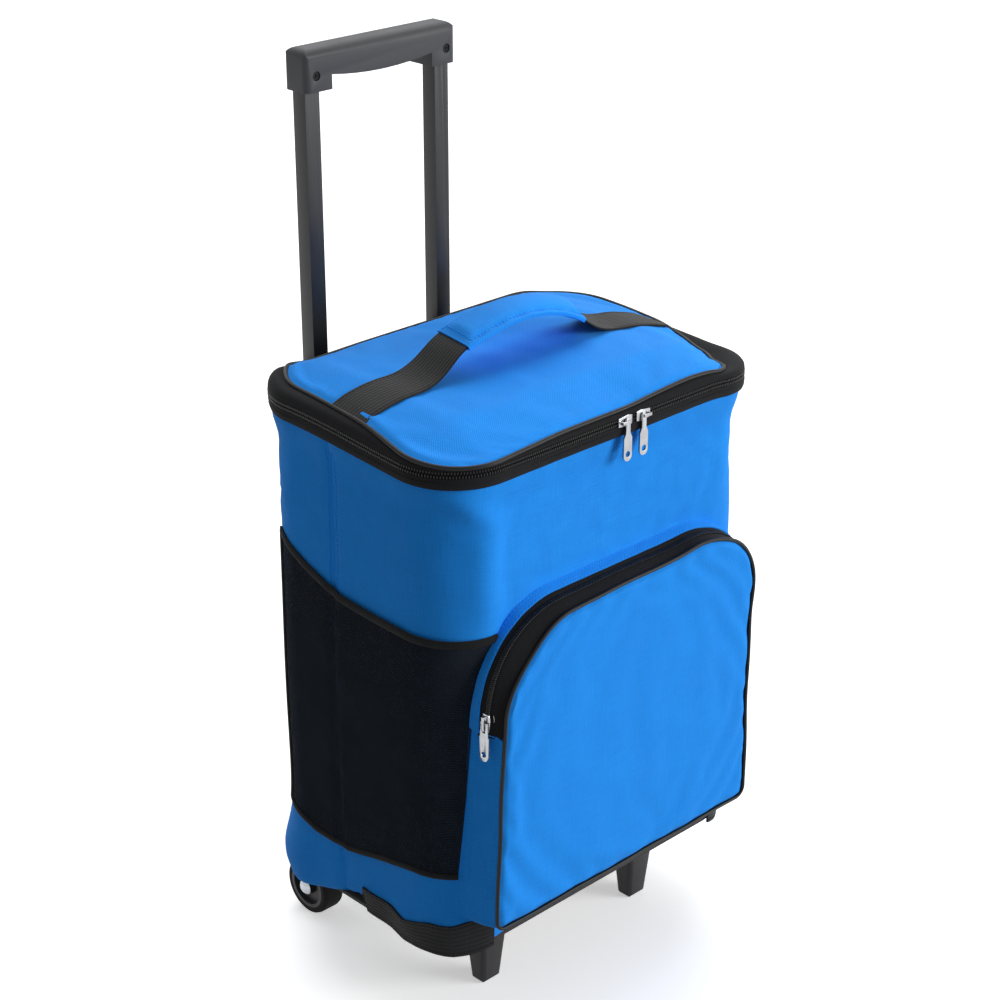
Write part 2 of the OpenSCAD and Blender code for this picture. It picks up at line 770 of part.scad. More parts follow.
// A round pin that the pull hangs on, with a bail from the pin's end back to the plate
module hanging_bail() {
    plate = zip_gap + slider_plate_t;
    translate([0, -plate + slider_fuse, 0]) rotate([90, 0, 0])
        cylinder(r = pull_pin_r, h = bail_in - plate + 2 * slider_fuse);
    translate([-pin_to_leg - bail_leg / 2, -bail_in - bail_t, -bail_w / 2])
        cube([pin_to_leg + bail_leg / 2 + 1, bail_t, bail_w]);
    translate([-pin_to_leg - bail_leg / 2, -bail_in - slider_fuse, -bail_w / 2])
        cube([bail_leg, bail_in - plate + 2 * slider_fuse, bail_w]);
}

// The lid slider's plates reach from just past the pin to the bail's leg
slider_past_pin = 1;

module lid_slider(x, nose) color(zip_silver) in_frame()
    translate([x, -bag_d / 2 - rim_overhang, split_z]) mirror([nose < 0 ? 1 : 0, 0, 0]) {
        translate([-slider_past_pin, 0, 0]) slider_body();
        hanging_bail();
    }
module slider_left() lid_slider(slider_left_x, 1);
module slider_right() lid_slider(slider_right_x, -1);

// A flat pull that hangs down from a round eye: the heights where its neck starts, and where it widens
pull_neck_z = -1.5;
pull_shoulder_z = -9;
pull_body_z = -13;

module hanging_pull(x) color(zip_silver) in_frame()
    translate([x, -bag_d / 2 - rim_overhang, split_z]) {
        back = -zip_gap - slider_plate_t - 2 * zip_gap;
        xz_prism(back - pull_t, back) difference() {
            union() {
                circle(pull_neck + slider_fuse);
                polygon([[-pull_neck, pull_neck_z], [-pull_neck, pull_shoulder_z],
                         [-pull_half, pull_body_z], [-pull_half, -pull_l + pull_half],
                         [pull_half, -pull_l + pull_half], [pull_half, pull_body_z],
                         [pull_neck, pull_shoulder_z], [pull_neck, pull_neck_z]]);
                translate([0, -pull_l + pull_half]) circle(pull_half);
            }
            circle(pull_pin_r + pin_gap);
            translate([0, -pull_hole_z]) circle(pull_hole_r);
        }
    }
module pull_left() hanging_pull(slider_left_x);
module pull_right() hanging_pull(slider_right_x);

// ---- Front pocket ----

// The pocket's outline from the front, moved inwards at the sides and top, and at the bottom
module pocket_shape(inset, bottom) {
    w = pocket_half - inset;
    r = pocket_r - inset;
    br = pocket_bottom_r;
    z0 = pocket_z0 + bottom;
    z1 = pocket_z1 - inset;
    translate([-w, z0 + br]) square([2 * w, z1 - r - z0 - br]);
    translate([-w + br, z0]) square([2 * (w - br), z1 - r - z0]);
    translate([-w + r, z0 + br]) square([2 * (w - r), z1 - z0 - br]);
    for (x = [-1, 1]) {
        translate([x * (w - r), z1 - r]) circle(r, $fn = 128);
        translate([x * (w - br), z0 + br]) circle(br);
    }
}

// A wall that follows the pocket's outline, between two insets
module pocket_ring(outer, inner, y0, y1) difference() {
    xz_prism(y0, y1) pocket_shape(outer, 0);
    xz_prism(y0 - cut, y1 + cut) pocket_shape(inner, inner - outer);
}

// The stretch of the outline that the zip covers, and the rest
module zip_stretch(zipped) {
    between(-reach, 0, -reach, reach,
            zipped ? zip_end_left_z : -reach, zipped ? reach : zip_end_left_z) children();
    between(0, reach, -reach, reach,
            zipped ? zip_end_right_z : -reach, zipped ? reach : zip_end_right_z) children();
}

tape_inner = pocket_inset + tape_t;

module pocket_gusset() color(bag_blue) in_frame() {
    difference() {
        pocket_ring(0, tape_t, pocket_tape_y, -bag_d / 2 + bag_r);
        bag_slab(0, 0, reach);
    }
    pocket_ring(0, tape_inner, pocket_tape_y, pocket_tape_y + edge_t);
    zip_stretch(false) pocket_ring(pocket_inset, tape_inner, pocket_panel_y, pocket_tape_y);
}

module pocket_zip_tape() color(black) in_frame() zip_stretch(true) {
    pocket_ring(pocket_inset, tape_inner, pocket_chain_y, pocket_tape_y);
    pocket_ring(pocket_inset, tape_inner, pocket_panel_y, pocket_chain_y - chain_h);
}

module pocket_zip_coil() color(black) in_frame() zip_stretch(true) {
    pocket_ring(pocket_inset, pocket_inset + coil_t, pocket_chain_y - coil_h, pocket_chain_y);
    pocket_ring(pocket_inset, pocket_inset + coil_t,
                pocket_chain_y - chain_h, pocket_chain_y - chain_h + coil_h);
}

module pocket_panel() color(bag_blue) in_frame() {
    xz_prism(pocket_front, pocket_front + panel_t) pocket_shape(pocket_inset, 0);
    pocket_ring(pocket_inset, tape_inner, pocket_front + panel_t, pocket_panel_y);
}

// A piping cord that runs round the pocket panel's edge
module pocket_piping() color(black) in_frame() {
    w = pocket_half - pocket_inset + pocket_piping_r;
    r = pocket_r - pocket_inset + pocket_piping_r;
    br = pocket_bottom_r + pocket_piping_r;
    z0 = pocket_z0 - pocket_piping_r;
    z1 = pocket_z1 - pocket_inset + pocket_piping_r;
    translate([0, pocket_front + pocket_piping_r, 0]) {
        for (x = [-1, 1]) {
            translate([x * w, 0, z0 + br]) cylinder(r = pocket_piping_r, h = z1 - z0 - r - br);
            translate([x * (w - r), 0, z1 - r]) rotate([90, 0, 0]) rotate(x < 0 ? 90 : 0)
                rotate_extrude(angle = 90, $fn = 128) translate([r, 0]) circle(pocket_piping_r, $fn = 32);
            translate([x * (w - br), 0, z0 + br]) rotate([90, 0, 0]) rotate(x < 0 ? 180 : 270)
                rotate_extrude(angle = 90) translate([br, 0]) circle(pocket_piping_r, $fn = 32);
        }
        for (run = [[z1, w - r], [z0, w - br]])
            translate([0, 0, run[0]]) rotate([0, 90, 0])
                cylinder(r = pocket_piping_r, h = 2 * run[1], center = true);
    }
}

// Puts a slider's frame on the pocket's left side: its X upwards and its -Y outwards
module on_pocket_zip() in_frame()
    translate([-pocket_half + pocket_inset, pocket_chain_y - chain_h / 2, pocket_corner_z])
        rotate([0, -90, -90]) children();

// The bail's half length, and the room round the crossbar inside it
bail_half = 5.6;
bar_gap = 0.2;

module pocket_slider() color(zip_silver) on_pocket_zip() {
    plate = zip_gap + slider_plate_t;
    bail_y = plate + 2 * (bar_gap + pull_pin_r);
    slider_body();
    translate([-bail_half, -bail_y - bail_t, -bail_w / 2]) cube([2 * bail_half, bail_t, bail_w]);
    for (x = [-bail_half, bail_half - bail_leg])
        translate([x, -bail_y - slider_fuse, -bail_w / 2])
            cube([bail_leg, bail_y - plate + 2 * slider_fuse, bail_w]);
}

// A flat pull with a window that the bail's leg passes through, hung on its own crossbar
module pocket_pull() color(zip_silver) on_pocket_zip() {
    bar_y = -zip_gap - slider_plate_t - bar_gap - pull_pin_r;
    arm_half = 3.5;
    arm_l = 13;
    window_half = 1.7;
    window_l = bail_half + 2;
    // The window reaches into the crossbar, so that no edge of the plate stands out of it
    window_in = pull_pin_r / 2;
    translate([0, bar_y, 0]) {
        cylinder(r = pull_pin_r, h = 2 * arm_half, center = true);
        xz_prism(-pull_t / 2, pull_t / 2) difference() {
            union() {
                translate([-arm_l, -arm_half]) square([arm_l, 2 * arm_half]);
                translate([-pull_l + pull_half, -pull_half])
                    square([pull_l - pull_half - arm_l + 2, 2 * pull_half]);
                translate([-pull_l + pull_half, 0]) circle(pull_half);
            }
            translate([-window_l, -window_half]) square([window_l - window_in, 2 * window_half]);
            translate([-pull_hole_z, 0]) circle(pull_hole_r);
        }
    }
}

// ---- Mesh side pockets ----

mesh_z0 = bag_floor + mesh_lift;
mesh_z1 = mesh_z0 + mesh_h;
mesh_front_in = 13;
mesh_rear_in = 14;
mesh_front = -bag_d / 2 + mesh_front_in;
mesh_rear = bag_d / 2 - mesh_rear_in;
mesh_outer = mesh_gap + mesh_t;
binding_w = 3;
binding_h = 4;
hem_h = 6;
binding_out = 0.6;

module mesh_pocket(side) color(black) on_side(side)
    between(-reach, 0, mesh_front, mesh_rear) ring(mesh_outer, mesh_gap, mesh_z0, mesh_z1);
module mesh_pocket_left() mesh_pocket(-1);
module mesh_pocket_right() mesh_pocket(1);

module mesh_binding(side) color(black) on_side(side) {
    between(-reach, 0, mesh_front, mesh_rear) {
        ring(mesh_outer + binding_out, 0, mesh_z0 - binding_h, mesh_z0);
        ring(mesh_outer + binding_out, mesh_gap, mesh_z1, mesh_z1 + hem_h);
    }
    for (y = [mesh_front - binding_w, mesh_rear])
        between(-reach, 0, y, y + binding_w)
            ring(mesh_outer + binding_out, 0, mesh_z0 - binding_h, mesh_z1 + hem_h);
}
module mesh_binding_left() mesh_binding(-1);
module mesh_binding_right() mesh_binding(1);

// ---- Base straps ----

// The strap's thickness, its end under the pocket, its rear end, and its lower and upper edges
strap_t = 1.6;
strap_past_corner = 4;
strap_end_x = bag_w / 2 - bag_r + strap_past_corner;
strap_end_y = -2;
strap_z0 = bag_floor - 1;
strap_z1 = pocket_z0 - 2;

module base_strap(side) color(black) on_side(side)
    between(-reach, -strap_end_x, -reach, strap_end_y) ring(strap_t, 0, strap_z0, strap_z1);
module base_strap_left() base_strap(-1);
module base_strap_right() base_strap(1);

base_plate();
foot_left();
foot_right();
wheel_bracket_left();
wheel_bracket_right();
axle();
wheel_hub_left();
wheel_hub_right();
tyre_left();
tyre_right();
axle_cap_left();
axle_cap_right();
outer_tube_left();
outer_tube_right();
tube_shoe();
tube_collar();
back_board();
frame_screws();
trolley_sleeve();
inner_tube_left();
inner_tube_right();
tube_plugs();
grip();
grip_screws();
bottom_panel();
base_board();
front_wrap();
back_wrap();
insulation();
liner();
lower_zip_tape();
lower_zip_coil();
hinge_strip();
upper_zip_tape();
upper_zip_coil();
lid_piping();
lid_panel();
lid_foam();
lid_liner();
carry_webbing();
carry_sleeve();
slider_left();
slider_right();
pull_left();
pull_right();
pocket_gusset();
pocket_zip_tape();
pocket_zip_coil();
pocket_piping();
pocket_panel();
pocket_slider();
pocket_pull();
mesh_pocket_left();
mesh_pocket_right();
mesh_binding_left();
mesh_binding_right();
base_strap_left();
base_strap_right();
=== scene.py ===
"""Looks of a soft cooler bag on a two-wheeled trolley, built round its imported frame.

Every piece is in metres, in the frame's own axes: +Z up, -Y the front, -X the left side seen from the
front. Sizes in the dataclass fields are millimetres, and mm() turns them to metres.
"""

import json
import logging
import math
from dataclasses import dataclass
from enum import Enum
from functools import cached_property
from typing import Iterable, Optional, Sequence

import bmesh
import bpy
import numpy as np
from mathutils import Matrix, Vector
from mathutils.bvhtree import BVHTree

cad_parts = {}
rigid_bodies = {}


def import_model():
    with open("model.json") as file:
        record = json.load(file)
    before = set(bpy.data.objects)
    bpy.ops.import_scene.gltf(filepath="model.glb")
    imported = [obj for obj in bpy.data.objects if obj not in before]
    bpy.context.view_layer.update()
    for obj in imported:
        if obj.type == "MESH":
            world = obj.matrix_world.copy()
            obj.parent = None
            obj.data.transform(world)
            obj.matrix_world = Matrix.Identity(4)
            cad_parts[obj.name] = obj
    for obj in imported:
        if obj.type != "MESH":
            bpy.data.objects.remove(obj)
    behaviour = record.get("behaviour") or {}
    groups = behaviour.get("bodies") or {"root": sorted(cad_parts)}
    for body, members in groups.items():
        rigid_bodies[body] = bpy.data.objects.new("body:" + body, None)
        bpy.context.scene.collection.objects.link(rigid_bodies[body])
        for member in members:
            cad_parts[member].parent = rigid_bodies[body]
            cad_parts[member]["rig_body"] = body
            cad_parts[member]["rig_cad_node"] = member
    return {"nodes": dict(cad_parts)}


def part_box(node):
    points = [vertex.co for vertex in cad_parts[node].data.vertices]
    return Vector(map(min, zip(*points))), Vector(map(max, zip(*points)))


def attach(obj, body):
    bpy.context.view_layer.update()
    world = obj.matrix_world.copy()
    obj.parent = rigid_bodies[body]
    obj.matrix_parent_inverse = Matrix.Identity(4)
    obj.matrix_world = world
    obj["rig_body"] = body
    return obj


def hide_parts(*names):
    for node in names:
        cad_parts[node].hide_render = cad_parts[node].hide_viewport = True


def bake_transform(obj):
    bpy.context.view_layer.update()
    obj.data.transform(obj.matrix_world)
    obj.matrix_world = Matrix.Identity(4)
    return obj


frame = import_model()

LOG = logging.getLogger("cooler")
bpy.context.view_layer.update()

TRUNK = "bag_and_trolley"
LID = "lid"

Array = np.ndarray
Piece = bpy.types.Object
Tree = bpy.types.NodeTree
Socket = bpy.types.NodeSocket


class Side(Enum):
    """Which side of the bag a piece is on, as the sign of its X."""

    LEFT = -1
    RIGHT = 1

    @property
    def word(self) -> str:
        """The side's name, as the nodes end in it."""
        return "left" if self is Side.LEFT else "right"


def mm(value: float) -> float:
    """Millimetres to metres."""
    return value / 1000.0


def smooth(low: float, high: float, value: Array) -> Array:
    """A smooth step from 0 at low to 1 at high."""
    t = np.clip((value - low) / (high - low), 0.0, 1.0)
    return t * t * (3.0 - 2.0 * t)


def bump(centre: float, width: float, value: Array) -> Array:
    """A bell of height 1 at centre that fades over width."""
    return np.exp(-(((value - centre) / width) ** 2))


def linear(colour: str) -> tuple[float, float, float, float]:
    """An sRGB hex colour, such as #239dff, as linear RGBA with an alpha of 1."""
    digits = colour.lstrip("#")
    parts = [int(digits[i : i + 2], 16) / 255.0 for i in (0, 2, 4)]
    lin = [p / 12.92 if p <= 0.04045 else ((p + 0.055) / 1.055) ** 2.4 for p in parts]
    return (lin[0], lin[1], lin[2], 1.0)


# ---- Outlines ----


@dataclass(frozen=True)
class Outline:
    """A closed outline with four rounded corners, anticlockwise, in metres.

    Attributes:
        corners: x, y and radius of each corner.
    """

    corners: tuple[tuple[float, float, float], ...]

    @classmethod
    def rectangle(cls, half_w: float, low: float, high: float, r_low: float, r_high: float) -> "Outline":
        """A rounded rectangle from low to high, all in millimetres, with one radius below and one above."""
        right = ((half_w, low, r_low), (half_w, high, r_high))
        left = ((-half_w, high, r_high), (-half_w, low, r_low))
        return cls(tuple((mm(x), mm(y), mm(radius)) for x, y, radius in right + left))

    @cached_property
    def runs(self) -> list[tuple[float, float, Array, Array, float]]:
        """Each run as start, length, first point or centre, direction or start normal, and radius."""
        found, start, count = [], 0.0, len(self.corners)
        points = [np.array(c[:2]) for c in self.corners]
        for i, (_, _, radius) in enumerate(self.corners):
            into = points[i] - points[i - 1]
            into = into / np.linalg.norm(into)
            out = points[(i + 1) % count] - points[i]
            reach = np.linalg.norm(out)
            out = out / reach
            centre = points[i] - into * radius + out * radius
            normal = np.array([into[1], -into[0]])
            found.append((start, radius * math.pi / 2, centre, normal, radius))
            start += radius * math.pi / 2
            straight = reach - radius - self.corners[(i + 1) % count][2]
            found.append((start, straight, points[i] + out * radius, out, 0.0))
            start += straight
        return found

    @property
    def length(self) -> float:
        """The distance round the outline."""
        last = self.runs[-1]
        return last[0] + last[1]

    def place(self, along: Array) -> tuple[Array, Array]:
        """Points and unit outward normals at distances of any shape, which wrap round."""
        s = np.mod(along, self.length)
        points, normals = np.zeros((*s.shape, 2)), np.zeros((*s.shape, 2))
        for start, length, anchor, direction, radius in self.runs:
            inside = (s >= start - 1e-9) & (s <= start + length + 1e-9)
            t = (s[inside] - start)[:, None]
            if radius > 0:
                turned = np.array([-direction[1], direction[0]])
                n = direction * np.cos(t / radius) + turned * np.sin(t / radius)
                points[inside], normals[inside] = anchor + n * radius, n
            else:
                points[inside] = anchor + direction * t
                normals[inside] = [direction[1], -direction[0]]
        return points, normals

    def offset(self, s: Array, g: Array) -> Array:
        """Points g millimetres outside the outline, for s of shape (n,) or (n, m) and g of (n, m) or less."""
        points, normals = self.place(s.reshape(len(s), -1))
        return points + normals * mm(1) * np.atleast_2d(g)[..., None]

    def locate(self, x: float, y: float) -> float:
        """The distance in metres along the outline of its nearest point to x, y in millimetres."""
        s = np.arange(0.0, self.length, mm(0.2))
        points, _ = self.place(s)
        return float(s[np.argmin(((points - [mm(x), mm(y)]) ** 2).sum(1))])

    def nearest(self, flat: Array, spacing: float) -> tuple[Array, Array, Array]:
        """How points lie to the outline.

        Args:
            flat: Points of shape (rows, cols, 2).
            spacing: Spacing of the outline's points, in metres.

        Returns:
            For each point, the distance along the outline and the normal at the nearest of the outline's
            points, and how far off that is, in millimetres.
        """
        s = self.stations(spacing)
        points, normals = self.place(s)
        near = ((flat[:, :, None] - points) ** 2).sum(-1)
        index = near.argmin(-1)
        return s[index], normals[index], np.sqrt(near.min(-1)) * 1000.0

    def levels(self, knots: Sequence[tuple[float, float, float]], s: Array, passes: int) -> Array:
        """A value that changes smoothly round the outline.

        Args:
            knots: The outline's two coordinates in millimetres, and the value there.
            s: Distances along the outline, in metres.
            passes: How often the value is smoothed.
        """
        at, value = zip(*sorted((self.locate(a, b), level) for a, b, level in knots))
        fine = np.arange(0.0, self.length, mm(2.0))
        level = np.interp(fine, at, value, period=self.length)
        for _ in range(passes):
            level = 0.5 * level + 0.25 * (np.roll(level, 1) + np.roll(level, -1))
        return np.interp(s, fine, level, period=self.length)

    def stations(self, spacing: float, start: float = 0.0, end: Optional[float] = None) -> Array:
        """Even distances from start to end, or all the way round without repeating the first.

        Args:
            spacing: About how far apart they are.
            start: The first distance.
            end: The last distance, or None for a closed round.
        """
        if end is None:
            count = max(8, round(self.length / spacing))
            return start + np.arange(count) * self.length / count
        if end < start:
            end += self.length
        return np.linspace(start, end, max(2, round((end - start) / spacing) + 1))


def raised(xy: Array, z: Array) -> Array:
    """Plan points in metres at heights in millimetres, as points in space."""
    return np.concatenate([xy, mm(1) * np.broadcast_to(z, xy.shape[:-1])[..., None]], -1)


def upright(xz: Array, y: Array) -> Array:
    """X and Z in metres at depths in millimetres, as points in space."""
    return np.stack([xz[..., 0], mm(1) * np.broadcast_to(y, xz.shape[:-1]), xz[..., 1]], -1)


def columns(profile: Sequence[tuple[float, float]]) -> tuple[Array, Array]:
    """The two measures of a profile's points, each of shape (1, n)."""
    first, second = np.array(profile, float).T[:, None]
    return first, second


def crowded(count: int) -> Array:
    """Steps from -1 to 1 that lie closer together towards both ends."""
    reach = math.pi / 2 * 0.86
    return np.sin(np.linspace(-1, 1, count) * reach) / math.sin(reach)


def unit(vectors: Array) -> Array:
    """Vectors of length 1."""
    return vectors / np.maximum(np.linalg.norm(vectors, axis=-1, keepdims=True), 1e-12)


# ---- Meshes ----


def place_object(name: str, data: bpy.types.ID) -> Piece:
    """A new object in the scene."""
    placed = bpy.data.objects.new(name, data)
    bpy.context.scene.collection.objects.link(placed)
    return placed


def aim(placed: Piece, ahead: Vector) -> None:
    """Turns a lamp or camera to look along a direction."""
    placed.rotation_mode = "QUATERNION"
    placed.rotation_quaternion = ahead.to_track_quat("-Z", "Y")


def make_object(name: str, verts: Array, faces: Iterable[Sequence[int]]) -> Piece:
    """A smooth-shaded object whose edges of more than 40 degrees stay sharp."""
    mesh = bpy.data.meshes.new(name)
    mesh.from_pydata(np.asarray(verts, float).tolist(), [], [list(map(int, f)) for f in faces])
    mesh.validate()
    mesh.shade_smooth()
    mesh.set_sharp_from_angle(angle=math.radians(40))
    return place_object(name, mesh)


def take_mesh(name: str, work: bmesh.types.BMesh, sharp: float) -> Piece:
    """A new object from a finished bmesh, sharp where it turns more than some degrees."""
    mesh = bpy.data.meshes.new(name)
    work.to_mesh(mesh)
    work.free()
    mesh.set_sharp_from_angle(angle=math.radians(sharp))
    return place_object(name, mesh)


def face_outwards(piece: Piece) -> Piece:
    """Turns every face of a closed piece outwards."""
    work = bmesh.new()
    work.from_mesh(piece.data)
    bmesh.ops.recalc_face_normals(work, faces=work.faces)
    work.to_mesh(piece.data)
    work.free()
    return piece


def grid_faces(rows: int, cols: int, close_rows: bool, close_cols: bool, base: int = 0) -> Array:
    """Quads of a grid whose points are numbered row by row from base."""
    i = np.arange(rows if close_rows else rows - 1)
    j = np.arange(cols if close_cols else cols - 1)
    a, b = np.meshgrid(i, j, indexing="ij")
    a2, b2 = (a + 1) % rows, (b + 1) % cols
    quads = np.stack([a * cols + b, a2 * cols + b, a2 * cols + b2, a * cols + b2], -1)
    return quads.reshape(-1, 4) + base


def cumulative(line: Array) -> Array:
    """Distances along a line of points."""
    return np.concatenate([[0.0], np.cumsum(np.linalg.norm(np.diff(line, axis=0), axis=1))])


def read(path: Array, at: Array, values: Array) -> Array:
    """Values given at a path's points, read at distances along it."""
    s = cumulative(path)
    return np.stack([np.interp(at, s, column) for column in values.T], -1)


def set_weave(piece: Piece, u: Array, v: Array, layers: int = 1) -> None:
    """Stores metres along and across a grid of points as the piece's UV map.

    Args:
        piece: A piece whose vertices are those of the grid, row by row.
        u: Distances along the rows.
        v: Distances across them.
        layers: How many times the grid is repeated.
    """
    coords = np.tile(np.stack(np.meshgrid(u, v, indexing="ij"), -1).reshape(-1, 2), (layers, 1))
    layer = piece.data.uv_layers.new(name="weave")
    index = np.zeros(len(piece.data.loops), np.int32)
    piece.data.loops.foreach_get("vertex_index", index)
    threads = coords[index].astype(np.float32)
    starts, counts = (np.zeros(len(piece.data.polygons), np.int32) for _ in range(2))
    piece.data.polygons.foreach_get("loop_start", starts)
    piece.data.polygons.foreach_get("loop_total", counts)
    for along in threads.T:
        # The last face of a closed sheet runs on past the end instead of back to the start.
        whole = np.ptp(along)
        high = np.repeat(np.maximum.reduceat(along, starts), counts)
        along[along < high - whole * 0.5] += whole
    layer.data.foreach_set("uv", threads.ravel())


def layered(name: str, outer: Array, inner: Array, closed: bool, flip: bool) -> Piece:
    """Two grids of points of shape (rows, cols, 3), joined along their edges, as cloth() has them."""
    rows, cols = outer.shape[:2]
    rims, off, last = [], rows * cols, cols - 1
    for i in range(rows if closed else rows - 1):
        a, b = i * cols, (i + 1) % rows * cols
        rims.append([a + off, b + off, b, a])
        rims.append([a + last, b + last, b + last + off, a + last + off])
    if not closed:
        for j in range(cols - 1):
            rims.append([j, j + 1, j + 1 + off, j + off])
            k = (rows - 1) * cols + j
            rims.append([k + off, k + 1 + off, k + 1, k])
    outer_faces, inner_faces = (grid_faces(rows, cols, closed, False, base) for base in (0, off))
    faces = np.concatenate([outer_faces, inner_faces[:, ::-1], np.array(rims)])
    verts = np.concatenate([outer.reshape(-1, 3), inner.reshape(-1, 3)])
    return make_object(name, verts, faces[:, ::-1] if flip else faces)


def cloth(name: str, grid: Array, thickness: float, closed: bool = False, flip: bool = False) -> Piece:
    """A closed sheet with the grid as its outer face.

    Args:
        name: The piece's name.
        grid: Outer points of shape (rows, cols, 3).
        thickness: How far the inner face lies behind the outer one, in millimetres.
        closed: Whether the last row joins the first.
        flip: Whether the outer side is the other one.
    """
    ahead = np.roll(grid, -1, 0) - np.roll(grid, 1, 0) if closed else np.gradient(grid, axis=0)
    normals = unit(np.cross(ahead, np.gradient(grid, axis=1))) * (-1.0 if flip else 1.0)
    piece = layered(name, grid, grid - normals * mm(thickness), closed, flip)
    rows, cols = grid.shape[:2]
    set_weave(piece, cumulative(grid[:, cols // 2]), cumulative(grid[rows // 2]), 2)
    return piece


def swept(name: str, rings: Array, closed: bool) -> Piece:
    """A solid from closed rings of points, joined in order and capped at open ends.

    Args:
        name: The piece's name.
        rings: Points of shape (rings, points in a ring, 3).
        closed: Whether the last ring joins the first.
    """
    rows, cols = rings.shape[:2]
    faces: list = grid_faces(rows, cols, closed, True).tolist()
    if not closed:
        faces.append(list(range(cols)))
        faces.append([(rows - 1) * cols + j for j in reversed(range(cols))])
    piece = make_object(name, rings.reshape(-1, 3), faces)
    set_weave(piece, cumulative(rings.mean(1)), cumulative(rings[0]))
    return face_outwards(piece)


def cord(name: str, path: Array, radius: float) -> Piece:
    """A closed round cord along a path that stays near the horizontal or an upright plane.

    Args:
        name: The piece's name.
        path: Points of shape (n, 3).
        radius: Radius in millimetres.
    """
    ahead = unit(np.roll(path, -1, 0) - np.roll(path, 1, 0))
    across = unit(np.cross(ahead, np.eye(3)[int(np.argmin(np.ptp(path, axis=0)))]))
    over = np.cross(across, ahead)
    angle = (np.arange(10) * 2 * math.pi / 10)[:, None]
    rings = path[:, None] + mm(radius) * (across[:, None] * np.cos(angle) + over[:, None] * np.sin(angle))
    return swept(name, rings, True)


def studs(name: str, centres: Array, along: Array, up: Array, size: tuple[float, float, float]) -> Piece:
    """Many small rounded bars, such as stitches or zip teeth, as one piece.

    Args:
        name: The piece's name.
        centres: Their middles, of shape (n, 3).
        along: Their long axes.
        up: Their upper sides.
        size: Length, width and height in millimetres.
    """
    ring = [(math.cos(a), math.sin(a)) for a in (k * math.pi / 3 for k in range(6))]
    local = [(-0.5, 0.0, 0.0)]
    for x, r in ((-0.36, 0.8), (0.0, 1.0), (0.36, 0.8)):
        local += [(x, c * r / 2, s * r / 2) for c, s in ring]
    local.append((0.5, 0.0, 0.0))
    shape = np.array(local) * [mm(length) for length in size]
    faces = [[0, 1 + (k + 1) % 6, 1 + k] for k in range(6)]
    for a in (1, 7):
        faces += [[a + k, a + (k + 1) % 6, a + 6 + (k + 1) % 6, a + 6 + k] for k in range(6)]
    faces += [[13 + k, 13 + (k + 1) % 6, 19] for k in range(6)]
    along = unit(along)
    side = unit(np.cross(up, along))
    verts = centres[:, None] + sum(
        way[:, None] * shape[None, :, k : k + 1] for k, way in enumerate((along, side, np.cross(along, side)))
    )
    every = [[i + len(shape) * n for i in f] for n in range(len(centres)) for f in faces]
    return face_outwards(make_object(name, verts.reshape(-1, 3), every))


@dataclass(frozen=True)
class Stitching:
    """A row of machine stitches.

    Attributes:
        pitch: Distance between stitches, in millimetres.
        length: Length of a stitch.
        thread: Width of the thread.
    """

    pitch: float = 3.6
    length: float = 2.7
    thread: float = 0.7

    def sew(self, name: str, path: Array, up: Array) -> Piece:
        """Stitches along a path.

        Args:
            name: The piece's name.
            path: Points on the cloth.
            up: The cloth's outward direction, one for the whole path or one a point.
        """
        pitch, end = mm(self.pitch), cumulative(path)[-1]
        at = np.arange(pitch / 2, end, pitch)
        ahead = read(path, at + pitch / 4, path) - read(path, at - pitch / 4, path)
        ups = read(path, np.linspace(0, end, len(at)), np.broadcast_to(up, path.shape))
        return studs(name, read(path, at, path), ahead, ups, (self.length, self.thread, self.thread))


def join(name: str, pieces: Sequence[Piece]) -> Piece:
    """Several meshes as one piece."""
    work = bmesh.new()
    for piece in pieces:
        work.from_mesh(piece.data)
        bpy.data.objects.remove(piece)
    return take_mesh(name, work, 40)


def eased(node: str, radius: float, segments: int = 2, corner: float = 0.0) -> Piece:
    """A copy of a CAD node with its edges eased, on the node's body.

    Args:
        node: The CAD node.
        radius: Radius of the eased edges, in millimetres.
        segments: Faces across each eased edge.
        corner: Larger radius of its long upright edges, or 0 if they are like the rest.
    """
    source = frame["nodes"][node]
    work = bmesh.new()
    work.from_mesh(source.data)
    bmesh.ops.remove_doubles(work, verts=work.verts, dist=1e-6)
    flat = math.radians(1.5)
    bmesh.ops.dissolve_limit(work, angle_limit=flat, verts=work.verts, edges=work.edges, delimit=set())
    for size, count, long in ((corner, 4, True), (radius, segments, False)):
        if not size:
            continue
        edges = [e for e in work.edges if e.is_manifold and e.calc_face_angle(0.0) > math.radians(30)]
        if long:
            ways = {e: e.verts[1].co - e.verts[0].co for e in edges}
            edges = [e for e, way in ways.items() if way.length > mm(20) and abs(way.z) > 0.8 * way.length]
        shape = {"offset": mm(size), "segments": count, "profile": 0.5, "clamp_overlap": not long}
        bmesh.ops.bevel(work, geom=edges, affect="EDGES", **shape)
    bmesh.ops.recalc_face_normals(work, faces=work.faces)
    for face in work.faces:
        face.smooth = True
    piece = take_mesh(node + ".eased", work, 50)
    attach(piece, source["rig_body"])
    return piece


# ---- Cloth simulation ----


